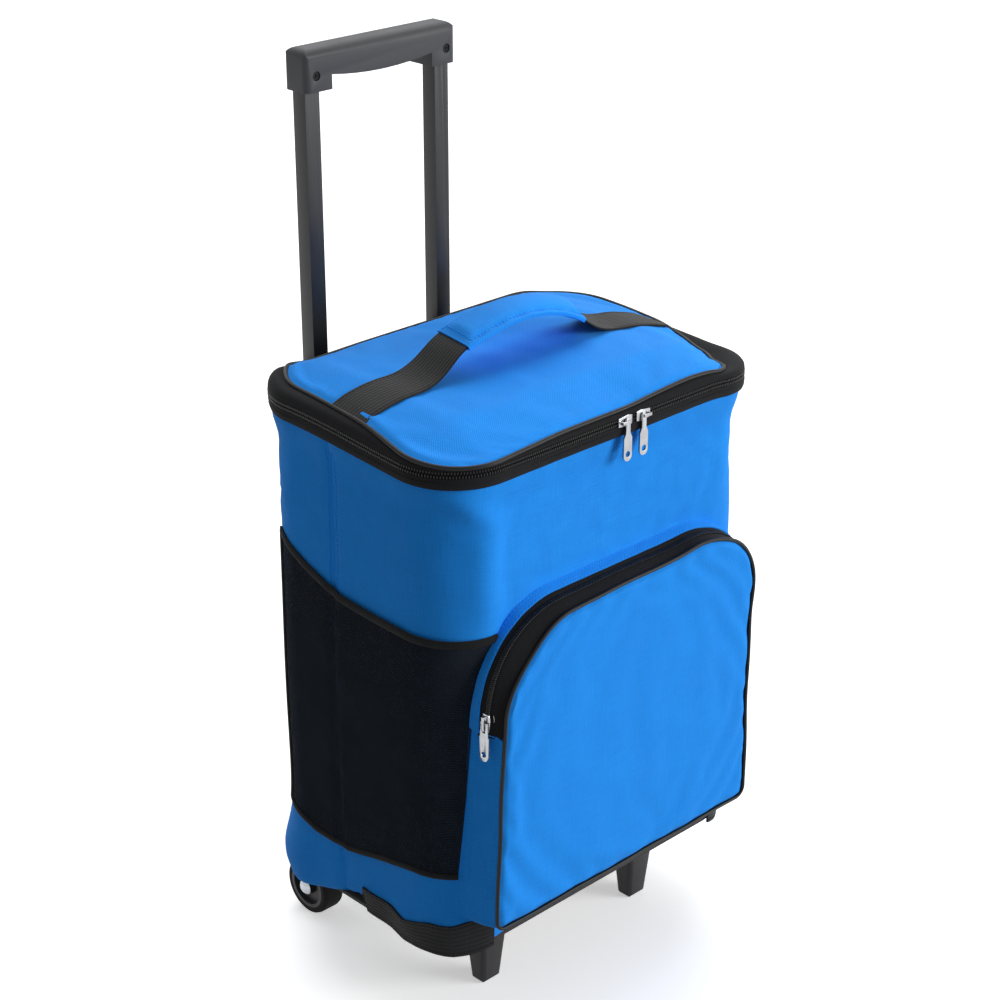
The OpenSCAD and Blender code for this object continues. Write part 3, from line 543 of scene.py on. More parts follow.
@dataclass(frozen=True)
class Drape:
    """How a pinned cloth puffs and puckers.

    Attributes:
        pressure: Air pressure behind it.
        slack: Share by which the cloth is larger than its frame.
        cap: How far a point may move, in millimetres.
        frames: Steps of the simulation.
        stiffness: Tension stiffness.
        bending: Bending stiffness.
    """

    pressure: float = 2.0
    slack: float = 0.02
    cap: float = 8.0
    frames: int = 20
    stiffness: float = 15.0
    bending: float = 2.0

    def settle(self, grid: Array, pins: Array) -> Array:
        """The grid after the cloth has settled.

        Args:
            grid: Points of shape (rows, cols, 3).
            pins: How firmly each point is held, from 0 to 1, of shape (rows, cols).
        """
        rows, cols = grid.shape[:2]
        piece = make_object("settling", grid.reshape(-1, 3), grid_faces(rows, cols, False, False))
        group = piece.vertex_groups.new(name="pins")
        for i, w in enumerate(pins.ravel()):
            if w > 0:
                group.add([i], float(w), "REPLACE")
        modifier = piece.modifiers.new("cloth", "CLOTH")
        values = {
            "quality": 6, "mass": 0.2, "bending_stiffness": self.bending, "air_damping": 2.0,
            "tension_stiffness": self.stiffness, "compression_stiffness": self.stiffness,
            "shear_stiffness": self.stiffness / 3, "tension_damping": 20.0, "compression_damping": 20.0,
            "vertex_group_mass": "pins", "pin_stiffness": 1.0, "shrink_min": -self.slack,
            "use_pressure": True, "uniform_pressure_force": self.pressure,
        }
        for key, value in values.items():
            setattr(modifier.settings, key, value)
        modifier.settings.effector_weights.gravity = 0.0
        modifier.collision_settings.use_collision = False
        scene = bpy.context.scene
        scene.frame_start, scene.frame_end = 1, self.frames
        for step in range(1, self.frames + 1):
            scene.frame_set(step)
        graph = bpy.context.evaluated_depsgraph_get()
        settled = np.zeros(rows * cols * 3, np.float32)
        piece.evaluated_get(graph).data.vertices.foreach_get("co", settled)
        moved = settled.reshape(rows, cols, 3).astype(float) - grid
        bpy.data.objects.remove(piece)
        scene.frame_set(1)
        far = np.linalg.norm(moved, axis=2, keepdims=True)
        return grid + moved * np.minimum(1.0, mm(self.cap) / np.maximum(far, 1e-9))

    def stretch(self, grid: Array, held: float) -> Array:
        """The grid after the cloth has settled, sewn along all its edges and held loosely inside."""
        pins = np.full(grid.shape[:2], held)
        pins[:2] = pins[-2:] = 1.0
        pins[:, :2] = pins[:, -2:] = 1.0
        return self.settle(grid, pins)


# ---- Finishes ----


class Slot(Enum):
    """The record's material slots."""

    BLACK_PLASTIC = "black_plastic"
    GRIP_PLASTIC = "grip_plastic"
    WHEEL_PLASTIC = "wheel_plastic"
    TYRE_RUBBER = "tyre_rubber"
    BLACK_TUBE = "black_tube"
    ZINC = "zinc"
    BLACK_SCREW = "black_screw"
    AXLE_STEEL = "axle_steel"
    BLUE_FABRIC = "blue_fabric"
    BLACK_FABRIC = "black_fabric"
    BLACK_WEBBING = "black_webbing"
    BLACK_MESH = "black_mesh"
    ZIP_TAPE = "zip_tape"
    ZIP_TEETH = "zip_teeth"
    PIPING = "piping"
    FOAM = "foam"
    FOIL_LINER = "foil_liner"
    BOARD = "board"


def add(tree: Tree, kind: str, inputs: Optional[dict] = None, **settings: object) -> bpy.types.Node:
    """Adds a shader node with its values, links and settings.

    Args:
        tree: The material's nodes.
        kind: The node's type, without its first words.
        inputs: For each socket, a value or another node's output.
        settings: Its own properties.

    Returns:
        The new node.
    """
    node = tree.nodes.new("ShaderNode" + kind)
    for key, value in settings.items():
        setattr(node, key, value)
    for key, value in (inputs or {}).items():
        if isinstance(value, Socket):
            tree.links.new(value, node.inputs[key])
        else:
            node.inputs[key].default_value = value
    return node


def per_mm(size: float) -> float:
    """The scale at which a pattern repeats, or its grains measure, size millimetres."""
    return 1.0 / mm(size)


def wave(tree: Tree, coords: Socket, axis: str, period: float, stray: float, **inputs: float) -> Socket:
    """Bands across an axis that repeat every period millimetres, wandering by stray."""
    values = {"Vector": coords, "Scale": math.pi / 10.0 * per_mm(period), "Distortion": stray, "Detail": 1.0}
    values.update({key.replace("_", " "): value for key, value in inputs.items()})
    return add(tree, "TexWave", values, bands_direction=axis).outputs["Fac"]


def crossed(tree: Tree, coords: Socket, u_mm: float, v_mm: float, stray: float) -> Socket:
    """A field from -1 to 1 that alternates like a draughtboard with soft edges.

    Args:
        tree: The material's nodes.
        coords: Metres along and across.
        u_mm: Width of two squares along, in millimetres.
        v_mm: Width of two squares across.
        stray: How much the lines wander.
    """
    level = []
    for axis, period in (("X", u_mm), ("Y", v_mm)):
        band = wave(tree, coords, axis, period, stray, Detail_Scale=0.6)
        level.append(add(tree, "Math", {0: band, 1: 2.0, 2: -1.0}, operation="MULTIPLY_ADD").outputs[0])
    return add(tree, "Math", {0: level[0], 1: level[1]}, operation="MULTIPLY").outputs[0]


def noise(tree: Tree, coords: Socket, size_mm: Sequence[float], detail: float = 2.0) -> Socket:
    """Soft noise whose grains measure size_mm along each axis."""
    scale = tuple(per_mm(s) for s in size_mm)
    stretched = add(tree, "Mapping", {"Vector": coords, "Scale": scale}, vector_type="POINT")
    inputs = {"Vector": stretched.outputs[0], "Scale": 1.0, "Detail": detail, "Roughness": 0.55}
    return add(tree, "TexNoise", inputs, noise_dimensions="3D").outputs["Fac"]


def blended(tree: Tree, start: float, *terms: tuple[Socket, float]) -> Socket:
    """start plus each output times its weight, kept from 0 to 1."""
    total: object = start
    for index, (output, weight) in enumerate(terms):
        last = index == len(terms) - 1
        inputs = {0: output, 1: weight, 2: total}
        total = add(tree, "Math", inputs, operation="MULTIPLY_ADD", use_clamp=last).outputs[0]
    return total


@dataclass(frozen=True)
class Finish:
    """A surface with its colour and gloss.

    Attributes:
        title: What the material is and how it was made.
        colour: sRGB hex of its raised or main surface.
        deep: sRGB hex of its gaps and worn or dusty places, and of the painted shade in the foil's folds and
            dents.
        roughness: Typical roughness.
        ior: Index of refraction, which a metal leaves at the default.
        metallic: 1 for a bare or plated metal.
        relief: Height of its texture, in millimetres.
        shine: Strength of its highlights, 0.5 for a clean smooth face.
        sheen: Glow of loose fibres at grazing angles.
    """

    title: str
    colour: str
    deep: str
    roughness: float
    ior: float = 1.5
    metallic: float = 0.0
    relief: float = 0.05
    shine: float = 0.5
    sheen: float = 0.0

    def pattern(self, tree: Tree) -> dict[str, Socket]:
        """The texture's colour mix, height, and gloss or alpha outputs, each from 0 to 1."""
        raise NotImplementedError

    def build(self) -> bpy.types.Material:
        """Makes the material."""
        material, tree = blank_material(self.title.replace(" ", "_"))
        fields = self.pattern(tree)
        colours = {0: fields["mix"], 6: linear(self.deep), 7: linear(self.colour)}
        mixed = add(tree, "Mix", colours, data_type="RGBA")
        bumps = add(tree, "Bump", {"Height": fields["height"], "Strength": 1.0, "Distance": mm(self.relief)})
        inputs = {
            "Base Color": mixed.outputs[2],
            "Metallic": self.metallic,
            "Normal": bumps.outputs["Normal"],
            "Roughness": self.roughness,
            "Specular IOR Level": self.shine,
            "Sheen Weight": self.sheen,
        }
        if self.metallic == 0.0:
            inputs["IOR"] = self.ior
        if "gloss" in fields:
            ends = {"To Min": self.roughness * 0.85, "To Max": min(1.0, self.roughness * 1.2)}
            inputs["Roughness"] = add(tree, "MapRange", {"Value": fields["gloss"], **ends}).outputs["Result"]
        if "alpha" in fields:
            inputs["Alpha"] = fields["alpha"]
        shader = add(tree, "BsdfPrincipled", inputs)
        add(tree, "OutputMaterial", {"Surface": shader.outputs["BSDF"]})
        return material

    @staticmethod
    def thread_coords(tree: Tree) -> Socket:
        """Metres along and across the cloth."""
        return add(tree, "UVMap", uv_map="weave").outputs["UV"]

    @staticmethod
    def solid_coords(tree: Tree) -> Socket:
        """Metres in the piece's own space."""
        return add(tree, "TexCoord").outputs["Object"]


def blank_material(name: str) -> tuple[bpy.types.Material, Tree]:
    """A material without nodes, and its tree."""
    material = bpy.data.materials.new(name)
    material.use_nodes = True
    material.node_tree.nodes.clear()
    return material, material.node_tree


@dataclass(frozen=True)
class PlainWeave(Finish):
    """Polyester cloth woven over and under from spun threads.

    Attributes:
        thread: Thread spacing in millimetres.
        slub: How strongly thick threads show as streaks.
    """

    thread: float = 0.9
    slub: float = 0.5

    def pattern(self, tree: Tree) -> dict[str, Socket]:
        """Threads, thick threads and a faint cloudiness."""
        coords = self.thread_coords(tree)
        cells = crossed(tree, coords, 2 * self.thread, 2 * self.thread, 0.8)
        along = noise(tree, coords, (26.0, 0.9, 10.0))
        across = noise(tree, coords, (0.9, 26.0, 10.0))
        clouds = noise(tree, coords, (55.0, 55.0, 55.0), 3.0)
        start = 0.62 - 0.5 * (2 * self.slub + 0.3)
        mix = blended(tree, start, (cells, 0.3), (along, self.slub), (across, self.slub), (clouds, 0.3))
        height = blended(tree, 0.15, (cells, 0.4), (along, 0.35), (across, 0.35))
        return {"mix": mix, "height": height, "gloss": clouds}


@dataclass(frozen=True)
class RibbedWebbing(Finish):
    """Heavy webbing with ribs along its length and cross threads between them.

    Attributes:
        rib: Width of a rib in millimetres.
        pick: Spacing of the cross threads.
    """

    rib: float = 3.0
    pick: float = 1.6

    def pattern(self, tree: Tree) -> dict[str, Socket]:
        """Ribs, cross threads and fluff."""
        coords = self.thread_coords(tree)
        rib = wave(tree, coords, "Y", self.rib, 0.3)
        cells = crossed(tree, coords, 2 * self.pick, self.rib, 0.5)
        fluff = noise(tree, coords, (3.0, 1.2, 3.0))
        mix = blended(tree, 0.05, (rib, 0.45), (cells, 0.18), (fluff, 0.4))
        return {"mix": mix, "height": blended(tree, 0.15, (rib, 0.6), (cells, 0.2), (fluff, 0.1))}


@dataclass(frozen=True)
class KnitNetting(Finish):
    """Warp-knit netting with small staggered holes.

    Attributes:
        hole: Spacing of the holes in millimetres.
        open_share: How clearly the cloth behind shows through a hole.
    """

    hole: float = 1.5
    open_share: float = 0.62

    def pattern(self, tree: Tree) -> dict[str, Socket]:
        """Holes in two staggered rows, with yarn bars between."""
        coords = self.thread_coords(tree)
        cells = crossed(tree, coords, 2 * self.hole, 2 * self.hole, 0.25)
        deep = add(tree, "Math", {0: cells}, operation="ABSOLUTE").outputs[0]
        ends = {"From Min": 0.3, "From Max": 0.62, "To Min": 1.0, "To Max": 1.0 - self.open_share}
        yarn = add(tree, "MapRange", {"Value": deep, **ends}, interpolation_type="SMOOTHSTEP").outputs["Result"]
        clouds = noise(tree, coords, (30.0, 18.0, 18.0))
        return {"mix": blended(tree, 0.0, (yarn, 0.5), (clouds, 0.5)), "height": yarn, "alpha": yarn}


@dataclass(frozen=True)
class TwillTape(Finish):
    """Narrow zip tape woven in a fine herringbone.

    Attributes:
        thread: Spacing of the slanting lines in millimetres.
        slant: Their angle to the tape, in degrees.
    """

    thread: float = 1.4
    slant: float = 38.0

    def pattern(self, tree: Tree) -> dict[str, Socket]:
        """Slanting lines and lint."""
        coords = self.thread_coords(tree)
        turned = add(tree, "Mapping", {"Vector": coords, "Rotation": (0.0, 0.0, math.radians(self.slant))})
        line = wave(tree, turned.outputs[0], "X", self.thread, 0.4)
        lint = noise(tree, coords, (6.0, 1.5, 3.0))
        mix = blended(tree, 0.0, (line, 0.4), (lint, 0.6))
        return {"mix": mix, "height": blended(tree, 0.0, (line, 0.8), (lint, 0.2))}


@dataclass(frozen=True)
class Grained(Finish):
    """A moulded, coated, plated or cast surface with fine grain and slow variation.

    Attributes:
        grain: Size of the fine grain in millimetres.
        patch: Size of the slow variation.
    """

    grain: float = 0.7
    patch: float = 30.0

    def pattern(self, tree: Tree) -> dict[str, Socket]:
        """Grain and slow variation."""
        coords = self.solid_coords(tree)
        fine = noise(tree, coords, (self.grain,) * 3)
        slow = noise(tree, coords, (self.patch,) * 3, 3.0)
        return {"mix": blended(tree, 0.0, (fine, 0.35), (slow, 0.9)), "height": fine, "gloss": slow}


@dataclass(frozen=True)
class CrinkledFoil(Finish):
    """Aluminised film with fold lines and soft dents, whose folds and hollows carry painted shade.

    Attributes:
        dent: Size of the dents in millimetres.
    """

    dent: float = 14.0

    def pattern(self, tree: Tree) -> dict[str, Socket]:
        """Folds between flat facets, and dents, with painted shade darkening the folds and the dents' hollows."""
        coords = self.thread_coords(tree)
        inputs = {"Vector": coords, "Scale": per_mm(self.dent), "Randomness": 1.0}
        folds = add(tree, "TexVoronoi", inputs, feature="DISTANCE_TO_EDGE").outputs["Distance"]
        crease = add(tree, "MapRange", {"Value": folds, "From Max": 0.12}).outputs["Result"]
        dents = noise(tree, coords, (self.dent, self.dent * 0.7, self.dent), 4.0)
        # Painted shade: the folds and the low places of the dents are darker in colour.
        mix = blended(tree, 0.1, (crease, 0.35), (dents, 0.8))
        return {"mix": mix, "height": blended(tree, 0.0, (crease, 0.25), (dents, 0.75)), "gloss": dents}


@dataclass(frozen=True)
class ClosedCell(Finish):
    """Closed-cell foam with small bubbles.

    Attributes:
        cell: Size of a bubble in millimetres.
    """

    cell: float = 1.6

    def pattern(self, tree: Tree) -> dict[str, Socket]:
        """Bubbles with thin walls."""
        coords = self.solid_coords(tree)
        inputs = {"Vector": coords, "Scale": per_mm(self.cell), "Randomness": 0.9}
        cells = add(tree, "TexVoronoi", inputs, feature="SMOOTH_F1").outputs["Distance"]
        slow = noise(tree, coords, (20.0, 20.0, 20.0))
        return {"mix": blended(tree, 0.1, (cells, 0.5), (slow, 0.6)), "height": cells}


FINISHES: dict[Slot, Finish] = {
    # 600-denier polyester, plain-woven and dyed: matt, with the threads and a few thick ones just showing.
    # Threads are about 0.5 mm apart on the real cloth, and are drawn at 0.9 mm so that they show.
    Slot.BLUE_FABRIC: PlainWeave(
        "woven dyed blue polyester", "#239dff", "#0b6bcb", 0.75, 1.53,
        relief=0.14, shine=0.12, sheen=0.04, slub=0.34,
    ),
    # The same cloth in black, as bindings, sleeve and back: greyer where the light grazes the fibres.
    Slot.BLACK_FABRIC: PlainWeave(
        "woven dyed black polyester", "#1b1c1e", "#0b0c0d", 0.85, 1.53, relief=0.1, shine=0.12, sheen=0.04
    ),
    # Polypropylene webbing from thick filament yarn, shining a little along its ribs.
    Slot.BLACK_WEBBING: RibbedWebbing(
        "woven ribbed black polypropylene", "#18191b", "#070708", 0.66, 1.49, relief=0.4, shine=0.16, sheen=0.06
    ),
    # Knitted polyester netting: nearly black and dull, with the blue cloth glimmering through its holes.
    # Its holes are about 1 mm apart, and are drawn at 1.5 mm so that they show.
    Slot.BLACK_MESH: KnitNetting(
        "knitted black polyester netting", "#2c323b", "#12161b", 0.88, 1.53, relief=0.06, shine=0.02, sheen=0.03
    ),
    # Polyester tape woven in a fine slant: dull black with lint on it.
    Slot.ZIP_TAPE: TwillTape(
        "woven black polyester tape", "#1e1f22", "#0c0c0d", 0.88, 1.53, relief=0.12, shine=0.12, sheen=0.04
    ),
    # Nylon filament wound and set by heat: satin black with small highlights.
    Slot.ZIP_TEETH: Grained(
        "set black nylon filament", "#18191b", "#0a0a0b", 0.42, 1.53, relief=0.02, grain=0.5, shine=0.35
    ),
    # PVC cord, extruded: smooth, so it carries one thin bright line.
    Slot.PIPING: Grained(
        "extruded black vinyl", "#0f1011", "#080808", 0.42, 1.53, relief=0.02, grain=1.2, shine=0.18
    ),
    # Polypropylene, moulded in a lightly grained tool: dark, with soft broad highlights.
    Slot.BLACK_PLASTIC: Grained(
        "moulded black polypropylene", "#212123", "#131315", 0.52, 1.49, relief=0.04, shine=0.32
    ),
    # Polypropylene with a coarser grain for the hand: dark grey and matt.
    Slot.GRIP_PLASTIC: Grained(
        "moulded grey grained polypropylene", "#3b3c40", "#292a2d", 0.55, 1.49, relief=0.06, grain=0.8, shine=0.35
    ),
    # Polypropylene hub with a smoother face than the frame.
    Slot.WHEEL_PLASTIC: Grained(
        "moulded satin polypropylene", "#29292c", "#1b1b1d", 0.42, 1.49, relief=0.03, shine=0.35
    ),
    # Moulded rubber: black and matt, greyed by floor dust.
    Slot.TYRE_RUBBER: Grained(
        "moulded black rubber", "#151516", "#1f1f1f", 0.84, 1.52, relief=0.08, grain=0.6, shine=0.2
    ),
    # Drawn steel tube with a satin powder coat: black, with an even fine skin like orange peel.
    Slot.BLACK_TUBE: Grained(
        "powder coated black steel tube", "#222327", "#151618", 0.36, 1.5, relief=0.03, grain=1.1, shine=0.32
    ),
    # Die-cast zinc, polished and nickel plated: bright, with a faint cloud of handling.
    Slot.ZINC: Grained(
        "polished plated zinc casting", "#b4b6b9", "#8b8d91", 0.24, metallic=1.0, relief=0.01, grain=0.8, patch=6.0
    ),
    # Steel screw with a black oxide skin: dark metal with soft highlights.
    Slot.BLACK_SCREW: Grained(
        "blackened steel screw", "#2c2c2e", "#151516", 0.36, metallic=1.0, relief=0.01, grain=0.5, patch=4.0
    ),
    # Turned steel, zinc plated: light grey metal with fine turning marks.
    Slot.AXLE_STEEL: Grained(
        "turned zinc plated steel", "#c2c6cc", "#9a9ea5", 0.26, metallic=1.0, relief=0.01, grain=0.4, patch=5.0
    ),
    # Polyethylene foam, foamed and cut: white, matt, with small bubbles.
    Slot.FOAM: ClosedCell("foamed white polyethylene", "#eceae4", "#cfccc4", 0.9, 1.4, relief=0.15),
    # Film with a vacuum-laid aluminium face: bright, folded and dented by handling.
    # Its folds and the hollows of its dents are painted darker, as painted shade.
    Slot.FOIL_LINER: CrinkledFoil("aluminised film", "#dcdfe2", "#a4a8ad", 0.28, metallic=1.0, relief=1.2),
    # Hardboard, pressed from fibre: dark brown-black and dull.
    Slot.BOARD: Grained("pressed dark fibre board", "#2b2926", "#1b1a18", 0.85, 1.5, relief=0.1, grain=1.5),
}


class Workshop:
    """Makes each finish once, and fits pieces to the bodies that carry them."""

    def __init__(self) -> None:
        """Makes the materials."""
        self.materials = {slot: finish.build() for slot, finish in FINISHES.items()}
        self.soft: list[Piece] = []

    def dress(self, piece: Piece, slot: Slot) -> Piece:
        """Gives a piece its finish and says which slot that is."""
        piece.data.materials.clear()
        piece.data.materials.append(self.materials[slot])
        return piece

    def fit(self, piece: Piece, slot: Slot, body: Optional[str] = None) -> Piece:
        """Dresses a new piece and puts it on its body, in place of the CAD node that its name begins with.

        Args:
            piece: The piece, in place. Stitches stand for no node.
            slot: Its finish.
            body: The body that carries it, or None if it has one already.

        Returns:
            The piece.
        """
        self.dress(piece, slot)
        if body is not None:
            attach(piece, body)
            self.soft.append(piece)
        node, _, kind = piece.name.partition(".")
        if kind != "stitches":
            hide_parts(node)
        LOG.info("%s: %s, %d faces", piece.name, slot.value, len(piece.data.polygons))
        return piece

    def sew(self, name: str, slot: Slot, body: str, rows: Sequence[tuple[Array, Array]], **size: float) -> None:
        """Makes rows of stitches as one piece.

        Args:
            name: The piece they hold, which names them.
            slot: Their finish.
            body: The body that carries them.
            rows: The path of each row, and its outward directions.
            size: Their sizes, where they differ from the usual.
        """
        sewn = [Stitching(**size).sew("row", path, ups) for path, ups in rows]
        self.fit(join(name + ".stitches", sewn), slot, body)

    def coat(self, node: str, slot: Slot) -> None:
        """Gives a CAD node that stays its finish."""
        self.dress(frame["nodes"][node], slot)
        LOG.info("%s: %s, kept", node, slot.value)

    def ease(self, node: str, slot: Slot, radius: float, segments: int = 2, corner: float = 0.0) -> None:
        """Replaces a hard CAD node by a copy with eased edges."""
        self.fit(eased(node, radius, segments, corner), slot)


@dataclass(frozen=True)
class Slump:
    """How the soft bag leans as it stands: rear left corner up, right side and front right corner down.

    Lengths are in millimetres. The straight run of the zip along the front and the back stay.

    Attributes:
        lift: Rise of the rear left corner.
        sink: Drop of the right side.
        corner: Further drop of the front right corner.
        low: Height at which the lean begins.
        high: Height from which it is whole.
    """

    lift: float = 9.0
    sink: float = 5.0
    corner: float = 5.0
    low: float = 330.0
    high: float = 455.0

    def press(self, piece: Piece) -> None:
        """Leans one piece with the rest."""
        flat = np.empty(len(piece.data.vertices) * 3, np.float32)
        piece.data.vertices.foreach_get("co", flat)
        points = flat.reshape(-1, 3)
        x, y, z = points.T * 1000.0
        share = smooth(self.low, self.high, z) * (1 - smooth(94.0, 104.0, y))
        share = share * (1 - smooth(66.0, 94.0, y) * (1 - smooth(104.0, 146.0, np.abs(x))))
        left = self.lift * smooth(-40.0, -163.0, x) * smooth(-114.0, 40.0, y)
        right = self.sink * smooth(60.0, 163.0, x) * smooth(-122.0, -60.0, y)
        near = self.corner * bump(160.0, 42.0, x) * bump(-110.0, 42.0, y) * smooth(97.0, 118.0, x)
        points[:, 2] += mm(1) * share * (left - right - near)
        piece.data.vertices.foreach_set("co", points.ravel())
        piece.data.update()


# ---- Studio ----


@dataclass(frozen=True)
class Lamp:
    """A broad, distant lamp.

    Attributes:
        name: What it is for.
        strength: Light that it throws on a surface facing it.
        source: Direction towards it.
        spread: Angular size in degrees.
    """

    name: str
    strength: float
    source: tuple[float, float, float]
    spread: float

    def build(self) -> None:
        """Hangs the lamp."""
        sun = bpy.data.lights.new(self.name, "SUN")
        sun.energy, sun.angle = self.strength, math.radians(self.spread)
        aim(place_object(self.name, sun), -Vector(self.source))


@dataclass(frozen=True)
class Studio:
    """A pale floor, soft light and the camera.

    Attributes:
        lens: Focal length in millimetres.
        place: The camera's position in metres.
        elevation: How far the camera looks down, in degrees.
        turn: How far it is turned from looking along +Y, in degrees.
        lamps: A wide lamp overhead, and one low in front whose shadow on the floor is faint.
        ambient: Strength of the world's light.
        floor_glow: Light that the floor adds where it is looked at.
        floor_bounce: Grey level of the floor where it lights the object.
        floor_white: Its grey level where it is looked at.
        floor_half: Half its side in metres.
    """

    lens: float = 80.41
    place: tuple[float, float, float] = (-1.0987, -1.1376, 1.0813)
    elevation: float = 24.353
    turn: float = 44.12
    lamps: tuple[Lamp, ...] = (
        Lamp("overhead", 2.15, (0.36, 0.44, 0.82), 55.0),
        Lamp("front", 2.95, (0.58, -0.78, 0.22), 36.0),
    )
    ambient: float = 0.27
    floor_glow: float = 0.46
    floor_bounce: float = 0.30
    floor_white: float = 0.95
    floor_half: float = 30.0

    def looked_at(self, tree: Tree) -> Socket:
        """1 where the camera sees a surface, directly, in a reflection or through glass."""
        path = add(tree, "LightPath")
        seen = path.outputs["Is Camera Ray"]
        for name in ("Is Glossy Ray", "Is Transmission Ray"):
            seen = add(tree, "Math", {0: seen, 1: path.outputs[name]}, operation="MAXIMUM").outputs[0]
        return seen

    def make_camera(self) -> None:
        """Sets the camera."""
        e, yaw = math.radians(self.elevation), math.radians(self.turn)
        ahead = Vector((math.sin(yaw) * math.cos(e), math.cos(yaw) * math.cos(e), -math.sin(e)))
        data = bpy.data.cameras.new("camera")
        data.lens, data.sensor_width = self.lens, 36.0
        data.clip_start, data.clip_end = 0.05, 100.0
        camera = place_object("camera", data)
        camera.location = self.place
        aim(camera, ahead)
        bpy.context.scene.camera = camera

    def make_floor(self) -> None:
        """Makes a white floor that keeps a soft shadow."""
        corners = [(x * self.floor_half, y * self.floor_half, 0) for x, y in ((-1, -1), (1, -1), (1, 1), (-1, 1))]
        floor = make_object("floor", corners, [[0, 1, 2, 3]])
        material, tree = blank_material("studio_floor")
        bounce = add(tree, "BsdfDiffuse", {"Color": (self.floor_bounce,) * 3 + (1.0,)})
        lit = add(tree, "BsdfDiffuse", {"Color": (self.floor_white,) * 3 + (1.0,)})
        glow = add(tree, "Emission", {"Strength": self.floor_glow})
        pale = add(tree, "AddShader", {0: lit.outputs[0], 1: glow.outputs[0]})
        mixed = add(tree, "MixShader", {0: self.looked_at(tree), 1: bounce.outputs[0], 2: pale.outputs[0]})
        add(tree, "OutputMaterial", {"Surface": mixed.outputs[0]})
        floor.data.materials.append(material)

    def make_light(self) -> None:
        """Makes the lamps and the world."""
        for lamp in self.lamps:
            lamp.build()
        world = bpy.data.worlds.new("studio")
        bpy.context.scene.world = world
        world.use_nodes = True
        tree = world.node_tree
        tree.nodes.clear()
        white = (1.0, 1.0, 1.0, 1.0)
        soft = add(tree, "Background", {"Color": white, "Strength": self.ambient})
        seen = add(tree, "Background", {"Color": white, "Strength": 1.0})
        mixed = add(tree, "MixShader", {0: self.looked_at(tree), 1: soft.outputs[0], 2: seen.outputs[0]})
        add(tree, "OutputWorld", {"Surface": mixed.outputs[0]})

    def build(self) -> None:
        """Sets up the camera, floor and light."""
        bpy.context.scene.view_settings.view_transform = "Standard"
        self.make_camera()
        self.make_floor()
        self.make_light()
        LOG.info("studio: camera, floor and light")


# ---- Trolley and pull handle ----


@dataclass(frozen=True)
class Trolley:
    """Base, feet, wheels, fixed tubes and their mounts.

    Attributes:
        plate_edge: Eased edge of the base plate, in millimetres.
        tube_edge: Eased edge of the square tubes.
        foot_edge: Eased edge of the feet.
        foot_corner: Radius of their upright edges.
    """

    plate_edge: float = 1.0
    tube_edge: float = 1.6
    foot_edge: float = 2.0
    foot_corner: float = 4.0

    def build(self, shop: Workshop) -> None:
        """Dresses every hard node of the trolley."""
        for node in ("base_plate", "tube_shoe", "tube_collar"):
            shop.ease(node, Slot.BLACK_PLASTIC, self.plate_edge)
        shop.coat("frame_screws", Slot.ZINC)
        shop.coat("axle", Slot.AXLE_STEEL)
        for side in Side:
            shop.ease(f"foot_{side.word}", Slot.BLACK_PLASTIC, self.foot_edge, 2, self.foot_corner)
            shop.ease(f"wheel_bracket_{side.word}", Slot.BLACK_PLASTIC, self.plate_edge)
            shop.ease(f"outer_tube_{side.word}", Slot.BLACK_TUBE, self.tube_edge, 3)
            shop.coat(f"axle_cap_{side.word}", Slot.AXLE_STEEL)
            shop.coat(f"wheel_hub_{side.word}", Slot.WHEEL_PLASTIC)
            shop.coat(f"tyre_{side.word}", Slot.TYRE_RUBBER)


@dataclass(frozen=True)
class PullHandle:
    """Sliding tubes with their plugs, grip and screws.

    Attributes:
        tube_edge: Eased edge of the square tubes, in millimetres.
        grip_edge: Eased edge of the moulded grip.
    """

    tube_edge: float = 1.4
    grip_edge: float = 2.4

    def build(self, shop: Workshop) -> None:
        """Dresses the sliding half of the handle."""
        for side in Side:
            shop.ease(f"inner_tube_{side.word}", Slot.BLACK_TUBE, self.tube_edge, 3)
        shop.ease("grip", Slot.GRIP_PLASTIC, self.grip_edge, 3)
        shop.coat("tube_plugs", Slot.BLACK_PLASTIC)
        shop.coat("grip_screws", Slot.BLACK_SCREW)


@dataclass(frozen=True)
class ZipPulls:
    """Sliders and their pulls.

    Attributes:
        edge: Eased edge of the castings, in millimetres.
    """

    edge: float = 0.45

    def build(self, shop: Workshop) -> None:
        """Dresses the sliders and pulls."""
        for node in ("slider_left", "slider_right", "pull_left", "pull_right", "pocket_slider", "pocket_pull"):
            shop.ease(node, Slot.ZINC, self.edge)


# ---- Bag ----


